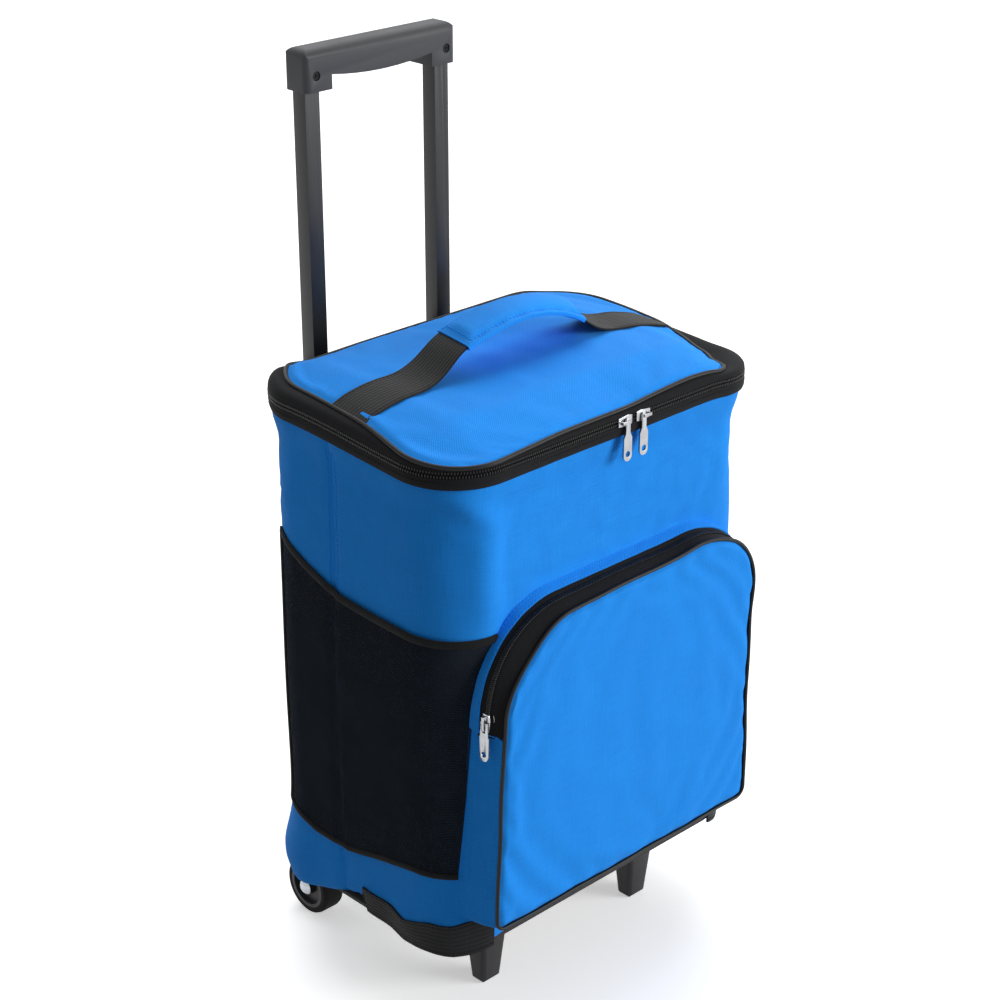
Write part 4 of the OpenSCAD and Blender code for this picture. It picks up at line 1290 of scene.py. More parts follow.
@dataclass(frozen=True)
class Shell:
    """Where the bag's outer fabric lies. Lengths are in millimetres.

    Attributes:
        half_w: Half the shell's width.
        front: Y of the front face.
        back: Y of the back face.
        radius: Corner radius in plan.
        floor: Height of the base plate's top.
        top: Height of the fabric's upper edge.
        seam: Y of the side seams.
        flare: How far the fabric leans out under the rim.
        flare_h: Height over which it does so.
        seam_dip: How far the seams pull in.
        crease: X and Y of the soft crease down the front left corner.
        fold: Y on a side, and the height of the fabric's lowest fold there.
    """

    half_w: float = 163.0
    front: float = -123.0
    back: float = 89.0
    radius: float = 45.0
    floor: float = 74.0
    top: float = 457.0
    seam: float = 1.0
    flare: float = 4.6
    flare_h: float = 24.0
    seam_dip: float = 1.7
    crease: tuple[float, float] = (-127.0, -122.1)
    fold: tuple = (
        (-125.0, 70.0), (-95.0, 69.5), (-60.0, 73.0), (-26.0, 81.0), (-11.0, 81.0),
        (7.0, 74.0), (32.0, 66.0), (60.0, 57.0), (85.0, 53.5),
    )

    @cached_property
    def plan(self) -> Outline:
        """The shell's outline seen from above."""
        return Outline.rectangle(self.half_w, self.front, self.back, self.radius, self.radius)

    @property
    def mid_y(self) -> float:
        """Y halfway from front to back."""
        return (self.front + self.back) / 2

    def seam_at(self, side: Side) -> float:
        """Distance along the plan of a side seam."""
        return self.plan.locate(side.value * self.half_w, self.seam)

    def marks(self, s: Array) -> tuple[Array, Array, Array]:
        """X and Y in millimetres at distances along the plan, and the distance to the nearer seam."""
        x, y = self.plan.place(s)[0].T * 1000.0
        half = self.plan.length / 2
        gaps = [np.abs(np.mod(s - self.seam_at(side) + half, 2 * half) - half) * 1000.0 for side in Side]
        return x, y, np.minimum(*gaps)

    def foot_shape(self, s: Array) -> tuple[Array, Array]:
        """Height of the lowest fold and radius of the bottom edge, in millimetres."""
        x, y, _ = self.marks(s)
        beside = smooth(105.0, 150.0, np.abs(x))
        return 73.0 + (np.interp(y, *zip(*self.fold)) - 73.0) * beside, 11.0 - 2.5 * beside

    def grow(self, s: Array, z: Array) -> Array:
        """How far the fabric stands out from the plan, in millimetres.

        Args:
            s: Distances along the plan in metres, of shape (n,).
            z: Heights in millimetres, of shape (n, m) or (1, m).
        """
        x, y, gap = (mark[:, None] for mark in self.marks(s))
        s = s[:, None]
        a = s * 1000.0
        lean = self.flare * smooth(self.top - self.flare_h, self.top, z)
        beside = smooth(120.0, 160.0, np.abs(x))
        belly = 1.6 * beside * np.sin(np.pi * np.clip((z - 90.0) / 360.0, 0, 1))
        corner = bump(-100.0, 26.0, y) * beside
        right = smooth(100.0, 150.0, x)
        pinch = -(1.0 + 5.0 * right) * corner * bump(412.0, 34.0, z) - 1.6 * corner * bump(320.0, 70.0, z)
        sag = 3.0 * smooth(-10.0, 50.0, y) * beside * bump(108.0, 30.0, z)
        sag = sag + 9.0 * smooth(130.0, 150.0, np.abs(x)) * bump(78.0, 26.0, y) * bump(82.0, 26.0, z)
        run = (s - self.plan.locate(*self.crease)) * 1000.0
        crease = 4.8 * bump(-24.0 * smooth(424.0, 455.0, z), 13.0, run)
        crease = crease * smooth(322.0, 368.0, z) * (1 - smooth(444.0, 457.0, z))
        puckers = 0.45 * np.sin(z / 6.1 + 1.3 * np.sin(z / 17.0)) * bump(0.0, 9.0, gap)
        low_puckers = 0.7 * np.sin(a / 6.3) * bump(92.0, 16.0, z) * (1 - smooth(60.0, 85.0, y))
        high_puckers = 0.35 * np.sin(a / 4.7 + np.sin(z / 9.0)) * bump(450.0, 9.0, z)
        seam = -self.seam_dip * bump(0.0, 3.2, gap)
        waves = 0.35 * np.sin(s * 38.0 + z / 47.0) * np.sin(z / 61.0 + 0.7 * s * 12.0)
        return lean + belly + pinch + sag + puckers + low_puckers + high_puckers + seam + waves + crease

    def around(self, s: Array, g: Array, z: Array) -> Array:
        """Points at offsets and heights in millimetres along the plan, of shape (n, m, 3)."""
        return raised(self.plan.offset(s, g), z)

    def at(self, s: Array, z: Array, out: float = 0.0) -> Array:
        """Points on the fabric at heights, out millimetres proud of it, of shape (n, m, 3)."""
        low, radius = (part[:, None] for part in self.foot_shape(s))
        drop = np.clip((low + radius - z) / radius, 0.0, 0.98)
        tuck = radius * (1.0 - np.sqrt(1.0 - drop**2))
        return self.around(s, self.grow(s, z) - tuck + out, z)

    def skirt(self, s: Array, rows: int = 62, turn: int = 8) -> Array:
        """The whole fabric from under the bottom edge to the rim, of shape (n, m, 3)."""
        low, radius = (part[:, None] for part in self.foot_shape(s))
        angle = np.linspace(-math.pi / 2, 0, turn + 1)[:-1]
        rise = np.linspace(0, 1, rows)[None]
        z = [low + radius * (1 + np.sin(angle)), low + radius + (self.top - low - radius) * rise]
        hem = self.around(s, -radius - 9.0, self.floor + 0.6)
        return np.concatenate([hem, self.at(s, np.concatenate(z, 1))], 1)


@dataclass(frozen=True)
class BagBody:
    """Fabric, foam, foil and boards of the bag, without its pockets. Lengths are in millimetres.

    Attributes:
        shell: Where the fabric lies.
        cloth_t: Thickness of the fabric.
        step: Grid spacing round the bag.
        still: X from which, and height up to which, the fabric lies still under the netting.
        foam_out: Outer offset of the foam from the plan.
        foam_in: Inner offset of the foam.
        lining_t: Thickness of the foil.
        lining_z: Height of the foil floor.
        drape: How the fabric settles.
    """

    shell: Shell
    cloth_t: float = 1.1
    step: float = 6.0
    still: tuple[float, float] = (116.0, 378.0)
    foam_out: float = -4.0
    foam_in: float = -9.4
    lining_t: float = 0.5
    lining_z: float = 86.8
    drape: Drape = Drape(pressure=1.1, slack=0.005, cap=3.0)

    def wrap(self, name: str, start: float, end: float) -> Piece:
        """One of the two fabric halves, from seam to seam."""
        grid = self.shell.skirt(self.shell.plan.stations(mm(self.step), start, end))
        pins = np.full(grid.shape[:2], 0.25)
        pins[:, :12] = pins[:, -5:] = 1.0
        pins[:2] = pins[-2:] = 1.0
        pins[(np.abs(grid[..., 0]) > mm(self.still[0])) & (grid[..., 2] < mm(self.still[1]))] = 1.0
        return cloth(name, self.drape.settle(grid, pins), self.cloth_t)

    def build(self, shop: Workshop) -> None:
        """Makes the soft body."""
        left, right = (self.shell.seam_at(side) for side in Side)
        for node, start, end in (("front_wrap", left, right), ("back_wrap", right, left)):
            shop.fit(self.wrap(node + ".cloth", start, end), Slot.BLUE_FABRIC, TRUNK)
        self.seams(shop)
        self.padding(shop)
        self.lining(shop)
        self.floor(shop)

    def seams(self, shop: Workshop) -> None:
        """Rows of stitches on both sides of each side seam."""
        z = np.linspace(104.0, 448.0, 120)[None]
        rows = []
        for side in Side:
            for shift in (-4.0, 4.0):
                s = np.array([self.shell.seam_at(side) + mm(shift)])
                rows.append((self.shell.at(s, z, 0.15)[0], np.array([side.value, 0.0, 0.0])))
        shop.sew("side_seam", Slot.BLUE_FABRIC, TRUNK, rows)

    def padding(self, shop: Workshop) -> None:
        """Foam walls and floor."""
        s = self.shell.plan.stations(mm(9.0))
        out, within = self.foam_out, self.foam_in
        profile = [(-60.0, 79.2), (out - 9.0, 79.2), (out - 2.0, 84.0), (out, 92.0)]
        profile += [(out, z) for z in (200.0, 300.0, 360.0, 390.0, 420.0, 452.0)]
        profile += [(out - 1.2, 455.6), (within + 1.0, 455.6), (within, 453.0)]
        profile += [(within, z) for z in (420.0, 390.0, 360.0, 300.0, 200.0, 94.0)]
        g, z = columns(profile + [(within - 6.0, 85.6), (-60.0, 85.6)])
        g = g + np.minimum(0.0, self.shell.grow(s, z) + 2.0) * (np.abs(g) < 20.0)
        piece = swept("insulation.foam", self.shell.around(s, g, z), True)
        shop.fit(piece, Slot.FOAM, TRUNK)

    def lining(self, shop: Workshop) -> None:
        """The foil bucket: floor, rounded bottom edge, walls and the lip sewn to the rim."""
        s = self.shell.plan.stations(mm(7.0))
        wall, low = self.foam_in - 0.7, self.lining_z
        profile = [(-100.0 + 12.0 * k, low) for k in range(8)]
        profile += [(wall - 2.2, low + 2.0), (wall, low + 7.0)]
        profile += [(wall, z) for z in np.linspace(97.0, 452.0, 40)]
        g, z = columns(profile + [(wall + 1.4, 456.4), (wall + 5.0, 458.6), (-1.5, 459.6)])
        a = s[:, None] * 1000.0
        live = smooth(95.0, 130.0, z) * (1 - smooth(430.0, 452.0, z))
        dents = 0.9 * np.sin(a / 11.0 + np.sin(z / 23.0)) + 0.8 * np.sin(z / 9.0 + 1.7 * np.sin(a / 29.0))
        g = g + np.minimum(0.0, self.shell.grow(s, z) + 2.0) - live * (1.4 + dents)
        xy = self.shell.plan.offset(s, np.maximum(g, -40.0))
        middle = np.array([0.0, mm(self.shell.mid_y)])
        xy = xy + (middle - xy) * np.clip((g + 40.0) / -60.0, 0.0, 1.0)[..., None]
        piece = cloth("liner.foil", raised(xy, z), self.lining_t, closed=True)
        shop.fit(piece, Slot.FOIL_LINER, TRUNK)

    def floor(self, shop: Workshop) -> None:
        """The bottom panel and the board inside it."""
        g, z = columns([(-70.0, 74.2), (-21.0, 74.2), (-20.0, 74.8), (-21.0, 75.4), (-70.0, 75.4)])
        rings = self.shell.around(self.shell.plan.stations(mm(9.0)), g, z)
        shop.fit(swept("bottom_panel.cloth", rings, True), Slot.BLACK_FABRIC, TRUNK)
        shop.coat("base_board", Slot.BOARD)


# ---- Rim and lid ----


@dataclass(frozen=True)
class Rim:
    """Zip tapes, teeth and piping round the opening. Lengths are in millimetres.

    Attributes:
        shell: The bag that it runs round.
        tape_t: Thickness of a tape.
        lower: Outward offset and height of each line of the lower tape.
        upper: The same for the upper tape, before it leans.
        tooth: Pitch of the teeth.
        teeth_z: Heights of the two rows.
        teeth_out: Offset of the teeth.
        cord_r: Radius of the piping.
        hinge_half: Half the width of the fabric hinge, where there are no teeth.
        edge: X and Y of points round the rim, with the offset and height of the lid's edge there.
    """

    shell: Shell
    tape_t: float = 1.2
    lower: tuple = (
        (-9.2, 457.3), (3.6, 457.3), (6.2, 457.9), (7.0, 460.2), (7.2, 463.5), (7.2, 466.4), (5.2, 467.0),
        (4.9, 469.2),
    )
    upper: tuple = ((4.9, 469.8), (5.2, 472.0), (7.2, 472.5))
    tooth: float = 1.9
    teeth_z: tuple = (468.0, 471.0)
    teeth_out: float = 6.7
    cord_r: float = 1.7
    hinge_half: float = 118.0
    edge: tuple = (
        (118, -123, 2.0, 477.0), (133, -120.4, -7.0, 476.0), (150, -110, -20.0, 475.5), (163, -78, -15.0, 476.5),
        (163, -50, -6.0, 478.5), (163, -20, 1.5, 481.0), (163, 20, 3.2, 483.0), (150, 76, 3.0, 484.0),
        (60, 89, 3.4, 484.0), (-60, 89, 3.4, 484.4), (-118, 89, 1.5, 484.4), (-150, 76, -7.0, 482.5),
        (-163, 35, -5.0, 480.0), (-163, 0, -3.0, 480.5), (-163, -35, -1.0, 481.5), (-163, -62, 3.0, 480.5),
        (-163, -78, 5.4, 478.5), (-150, -110, 6.6, 474.4), (-130, -121, 6.4, 474.2), (-100, -123, 5.2, 475.6),
        (-60, -123, 4.2, 477.6), (-20, -123, 3.8, 477.0), (12, -123, 3.4, 476.2), (45, -123, 3.4, 479.0),
        (80, -123, 3.2, 481.2), (104, -123, 3.0, 479.4),
    )

    def lean(self, s: Array) -> tuple[Array, Array]:
        """Offset and height of the lid's edge along the rim, in millimetres."""
        out, height = (self.shell.plan.levels([(*knot[:2], knot[k]) for knot in self.edge], s, 40) for k in (2, 3))
        return out + 0.4 * np.sin(s * 1000.0 / 31.0), height + 0.4 * np.sin(s * 1000.0 / 47.0 + 1.0)

    def build(self, shop: Workshop) -> None:
        """Makes the tapes, piping, teeth and stitches."""
        shell = self.shell
        s = shell.plan.stations(mm(4.0))
        low, up = np.array(self.lower), np.array(self.upper)
        wobble = 0.35 * np.sin(s * 1000.0 / 23.0)[:, None] * (low[:, 1] < 466.0)
        self.tape(shop, "lower_zip_tape", TRUNK, shell.around(s, low[:, 0] + wobble, low[:, 1]))
        out, height = self.lean(s)
        foot_out, foot_z = up[-1]
        crown = foot_z + 0.75 * (height - foot_z) + 0.4 * np.maximum(0.0, 3.0 - out)
        g = [up[:, 0] + 0 * out[:, None], self.arc(foot_out, 0 * out + 7.6, out - 0.6), (out - 8.0)[:, None]]
        z = [up[:, 1] + 0 * out[:, None], self.arc(foot_z, crown, height - 0.9), (height - 2.4)[:, None]]
        self.tape(shop, "upper_zip_tape", LID, shell.around(s, np.concatenate(g, 1), np.concatenate(z, 1)))
        path = shell.around(s, out[:, None], height[:, None])[:, 0]
        shop.fit(cord("lid_piping.cord", path, self.cord_r), Slot.PIPING, LID)
        self.teeth(shop)
        s = shell.plan.stations(mm(3.0))
        row = (shell.around(s, 7.25, 463.2)[:, 0], raised(shell.plan.place(s)[1], 0.0))
        shop.sew("lower_zip_tape", Slot.ZIP_TAPE, TRUNK, [row], thread=0.55)

    def tape(self, shop: Workshop, node: str, body: str, grid: Array) -> None:
        """Makes one of the two tapes."""
        shop.fit(cloth(node + ".woven", grid, self.tape_t, closed=True), Slot.ZIP_TAPE, body)

    @staticmethod
    def arc(start: float, crown: Array, end: Array) -> Array:
        """Seven points of each curve from start by way of crown to end, of shape (n, 7)."""
        share = np.linspace(0.0, 1.0, 8)[None, 1:]
        return start * (1 - share) ** 2 + crown[:, None] * 2 * share * (1 - share) + end[:, None] * share**2

    def teeth(self, shop: Workshop) -> None:
        """Two rows of coil teeth, left out where the fabric hinge is."""
        plan = self.shell.plan
        low, high = self.teeth_z
        for z, body, node, phase in ((low, TRUNK, "lower_zip_coil", 0.0), (high, LID, "upper_zip_coil", 0.5)):
            s = np.arange(phase, plan.length * 1000.0 / self.tooth) * mm(self.tooth)
            points, _ = plan.place(s)
            behind = (points[:, 1] > mm(self.shell.back - 2)) & (np.abs(points[:, 0]) < mm(self.hinge_half))
            s = s[~behind]
            centres, ups = self.shell.around(s, self.teeth_out, z)[:, 0], raised(plan.place(s)[1], 0.0)
            piece = studs(node + ".teeth", centres, np.array([[0.0, 0.0, 1.0]]), ups, (2.7, 1.25, 1.7))
            shop.fit(piece, Slot.ZIP_TEETH, body)


@dataclass(frozen=True)
class LidTop:
    """The domed fabric of the lid, with its foam and foil. Lengths are in millimetres.

    Attributes:
        rim: The rim that it is sewn to.
        rise: Height of the dome.
        cells: Grid points along and across.
        cloth_t: Thickness of the fabric.
        inset: Size of the foam and foil as a share of the fabric's.
        drape: How the fabric settles.
    """

    rim: Rim
    rise: float = 8.8
    cells: tuple[int, int] = (72, 52)
    cloth_t: float = 1.1
    inset: float = 0.96
    drape: Drape = Drape(pressure=0.8, slack=0.003, cap=1.6)

    def spread(self) -> Array:
        """Points over the lid's plan, of shape (along, across, 2), in metres."""
        shell = self.rim.shell
        half = (shell.back - shell.front) / 2
        u, v = (crowded(count) for count in self.cells)
        over = np.maximum(0.0, np.abs(v * half) - (half - shell.radius))
        reach = shell.half_w - shell.radius + np.sqrt(np.maximum(0.0, shell.radius**2 - over**2))
        x = u[:, None] * reach[None]
        return mm(1) * np.stack([x, np.broadcast_to(shell.mid_y + v * half, x.shape)], -1)

    def follow(self, flat: Array) -> tuple[Array, ...]:
        """Draws a flat layer in to where the lid's edge really lies.

        Args:
            flat: Points of shape (along, across, 2), in metres.

        Returns:
            The moved points, how near the edge each lies from 0 to 1, and its distance from the edge and
            the edge's height, both in millimetres.
        """
        s, normals, gap = self.rim.shell.plan.nearest(flat, mm(2.5))
        out, height = self.rim.lean(s)
        pull = smooth(0.0, 1.0, 1.0 - gap / 46.0)
        return flat + normals * (mm(1) * (out - 0.4) * pull)[..., None], pull, gap, height

    def surface(self) -> Array:
        """The lid's outer points before it settles."""
        shell, flat = self.rim.shell, self.spread()
        xy, pull, gap, height = self.follow(flat)
        x, y = flat[..., 0] * 1000.0, flat[..., 1] * 1000.0
        dome = (1 - np.abs(x / (shell.half_w + 4)) ** 2.5) * (1 - np.abs((y - shell.mid_y) / 110.0) ** 2.5)
        z = 483.6 + (height - 483.8) * pull + self.rise * np.clip(dome, 0.0, 1.0) ** 0.92
        z = z - 1.9 * (1 - smooth(0.0, 7.0, gap)) + 1.2
        return raised(xy, z + 0.35 * np.sin(x / 37.0 + 0.4) * np.sin(y / 29.0) * (1 - pull))

    def build(self, shop: Workshop) -> Piece:
        """Makes the lid's three layers, and gives the outer panel, which the carry handle is sewn to."""
        grid = self.drape.stretch(self.surface(), 0.15)
        panel = shop.fit(cloth("lid_panel.cloth", grid, self.cloth_t), Slot.BLUE_FABRIC, LID)
        self.padding(shop, grid)
        self.lining(shop)
        return panel

    def shrink(self, flat: Array) -> Array:
        """Points of a layer drawn in towards the lid's middle, clear of the sliders."""
        middle = np.array([0.0, mm(self.rim.shell.mid_y)])
        return middle + (flat - middle) * self.inset

    def padding(self, shop: Workshop, outer: Array) -> None:
        """Foam under the panel."""
        flat = self.shrink(outer[..., :2])
        level = np.minimum(mm(474.6), outer[..., 2:] - mm(5.5))
        top = np.concatenate([flat, np.maximum(outer[..., 2:] - mm(3.0), level + mm(1.4))], -1)
        under = np.concatenate([flat, level], -1)
        piece = face_outwards(layered("lid_foam.foam", top, under, False, False))
        shop.fit(piece, Slot.FOAM, LID)

    def lining(self, shop: Workshop) -> None:
        """Quilted foil under the foam."""
        flat = self.spread()
        x, y = flat[..., 0] * 1000.0, flat[..., 1] * 1000.0
        xy, _, _, height = self.follow(flat)
        quilt = np.abs(np.sin((x + y) / 26.0)) ** 0.5 * np.abs(np.sin((x - y) / 26.0)) ** 0.5
        z = np.minimum(474.0, height - 7.0) - 1.6 * quilt - 0.3 * np.sin(x / 7.0 + np.sin(y / 5.0))
        piece = cloth("lid_liner.foil", raised(self.shrink(xy), z), 0.4, flip=True)
        shop.fit(piece, Slot.FOIL_LINER, LID)


@dataclass(frozen=True)
class CarryHandle:
    """Webbing across the lid and the padded sleeve round its middle. Lengths are in millimetres.

    Attributes:
        mid_y: Y of the webbing's middle.
        width: Width of the webbing.
        ends: X of its two ends.
        arch: X and height of points along the arch.
        skew: X, and how much further to the right the webbing's rear edge lies there, as a share of
            its width.
        sleeve: X of the sleeve's two ends.
        sleeve_w: Width of the sleeve.
        pad: Half thickness of the padding.
        flange: Half thickness of the sewn edge.
    """

    mid_y: float = -17.0
    width: float = 38.0
    ends: tuple[float, float] = (-160.5, 155.0)
    arch: tuple = (
        (-84.0, 499.0), (-74.0, 508.0), (-63.0, 516.0), (-46.0, 520.5), (-18.0, 525.5), (6.0, 526.5),
        (28.0, 523.5), (48.0, 518.0), (62.0, 511.5), (74.0, 502.0), (86.0, 494.5),
    )
    skew: tuple = (
        (-162.0, 0.0), (-92.0, 0.05), (-62.0, 0.18), (0.0, 0.25), (50.0, 0.42), (95.0, 0.36), (135.0, 0.1),
        (166.0, 0.0),
    )
    sleeve: tuple[float, float] = (-60.0, 66.0)
    sleeve_w: float = 42.0
    pad: float = 4.2
    flange: float = 1.4

    def path(self, panel: Piece) -> Array:
        """The webbing's middle line, of shape (n, 3), lying on the lid's panel and arching over it."""
        faces = [tuple(p.vertices) for p in panel.data.polygons]
        tree = BVHTree.FromPolygons([v.co.copy() for v in panel.data.vertices], faces)
        knots = np.array(self.arch)
        arch_x = np.linspace(knots[0, 0], knots[-1, 0], 60)
        arch = np.stack([arch_x, np.interp(arch_x, *knots.T)], -1)
        flats = []
        for x0, x1, end in ((self.ends[0], knots[0, 0] - 9.0, 0), (knots[-1, 0] + 9.0, self.ends[1], -1)):
            xs = np.linspace(x0, x1, 16)
            hits = [tree.ray_cast(Vector((mm(x), mm(self.mid_y), 0.6)), Vector((0, 0, -1)))[0] for x in xs]
            kept = [i for i, hit in enumerate(hits) if hit is not None]
            zs = np.interp(np.arange(len(xs)), kept, [hits[i].z * 1000.0 + 1.4 for i in kept])
            zs[end] -= 1.2
            flats.append(np.stack([xs, zs], -1))
        line = np.concatenate([flats[0], arch, flats[1]])
        for _ in range(8):
            line[1:-1] = 0.5 * line[1:-1] + 0.25 * (line[:-2] + line[2:])
        x, z = read(line, np.linspace(0, 1, 150) * cumulative(line)[-1], line).T
        return mm(1) * np.stack([x, np.full(len(x), self.mid_y), z], -1)

    def build(self, shop: Workshop, panel: Piece) -> None:
        """Makes the webbing, the sleeve and their stitches."""
        line = self.path(panel)
        side = self.sideways(line)
        up = unit(np.cross(unit(np.gradient(line, axis=0)), side))
        half = self.width / 2
        over = [(half, 0.3), (half - 0.6, 0.9), (-half + 0.6, 0.9), (-half, 0.3)]
        fine = self.even_section([(-x, -z) for x, z in over] + over, 3.0)[None]
        rings = line[:, None] + mm(1) * (side[:, None] * fine[..., :1] + up[:, None] * fine[..., 1:])
        shop.fit(swept("carry_webbing.woven", rings, False), Slot.BLACK_WEBBING, LID)
        self.make_sleeve(shop, line, up)
        self.box_stitches(shop, line, up)

    def sideways(self, line: Array) -> Array:
        """The webbing's direction across itself at points of its line, one long along Y."""
        shift = np.interp(line[:, 0] * 1000.0, *zip(*self.skew))
        return np.stack([shift, np.ones(len(line)), np.zeros(len(line))], -1)

    @staticmethod
    def even_section(section: Sequence[tuple[float, float]], spacing: float) -> Array:
        """A closed section with extra points on its long sides."""
        ring = np.array(list(section) + [section[0]], float)
        found = []
        for a, b in zip(ring[:-1], ring[1:]):
            count = max(1, round(np.linalg.norm(b - a) / spacing))
            found += [a + (b - a) * k / count for k in range(count)]
        return np.array(found)

    def make_sleeve(self, shop: Workshop, line: Array, up: Array) -> None:
        """The padded sleeve: thick in the middle, flat at its sewn edges and ends."""
        inside = (line[:, 0] >= mm(self.sleeve[0])) & (line[:, 0] <= mm(self.sleeve[1]))
        core, share = line[inside], np.linspace(0, 1, 70)
        even = cumulative(core)[-1] * share
        core, ups = read(core, even, core), read(core, even, up[inside])
        half = self.sleeve_w / 2
        across = half * np.sin(np.linspace(-1, 1, 25) * math.pi / 2)
        body = np.sqrt(np.clip(1 - (across / (half - 4.6)) ** 2, 0, 1))
        ends = smooth(0.0, 0.09, share) * smooth(0.0, 0.09, 1 - share)
        edge = self.flange * np.sqrt(np.clip(1 - (np.abs(across) / half) ** 8, 0, 1))
        swell = self.pad * ends[:, None] * body[None]
        ripple = 0.25 * np.sin(share * 40.0)[:, None] * bump(half - 3.5, 3.0, np.abs(across))[None]
        top = edge[None] + swell + ripple + 0.9
        side = self.sideways(core)
        wide = side[:, None] * across[None, :, None]
        upper, lower = (
            core[:, None] + mm(1) * (wide + ups[:, None] * off[..., None])
            for off in (top, -(edge[None] + 0.55 * swell + 0.9))
        )
        rings = np.concatenate([upper, lower[:, ::-1][:, 1:-1]], 1)
        piece = shop.fit(swept("carry_sleeve.cloth", rings, False), Slot.BLUE_FABRIC, LID)
        rows = []
        for edge_y in (3.6 - half, half - 3.6):
            path = core + mm(1) * (side * edge_y + ups * (self.flange + 1.15))
            rows.append((path[1:-1], ups[1:-1]))
        ys = np.linspace(4 - half, half - 4, 30)[:, None]
        for index in (3, -4):
            height = np.interp(ys, across, top[index]) + 0.2
            rows.append((core[index] + mm(1) * (side[index] * ys + ups[index] * height), ups[index]))
        shop.sew("carry_sleeve", Slot.BLUE_FABRIC, LID, rows)

    def box_stitches(self, shop: Workshop, line: Array, up: Array) -> None:
        """Two rows of stitches that hold each end of the webbing to the lid."""
        rows = []
        for low, high in ((self.ends[0] + 4, self.arch[0][0] - 12), (self.arch[-1][0] + 12, self.ends[1] - 8)):
            inside = (line[:, 0] >= mm(low)) & (line[:, 0] <= mm(high))
            for y in (2.5 - self.width / 2, self.width / 2 - 2.5):
                path = line[inside] + self.sideways(line[inside]) * mm(y) + up[inside] * mm(1.0)
                rows.append((path, up[inside]))
        shop.sew("carry_webbing", Slot.BLACK_WEBBING, LID, rows, thread=0.6)


# ---- Pockets, straps and back ----


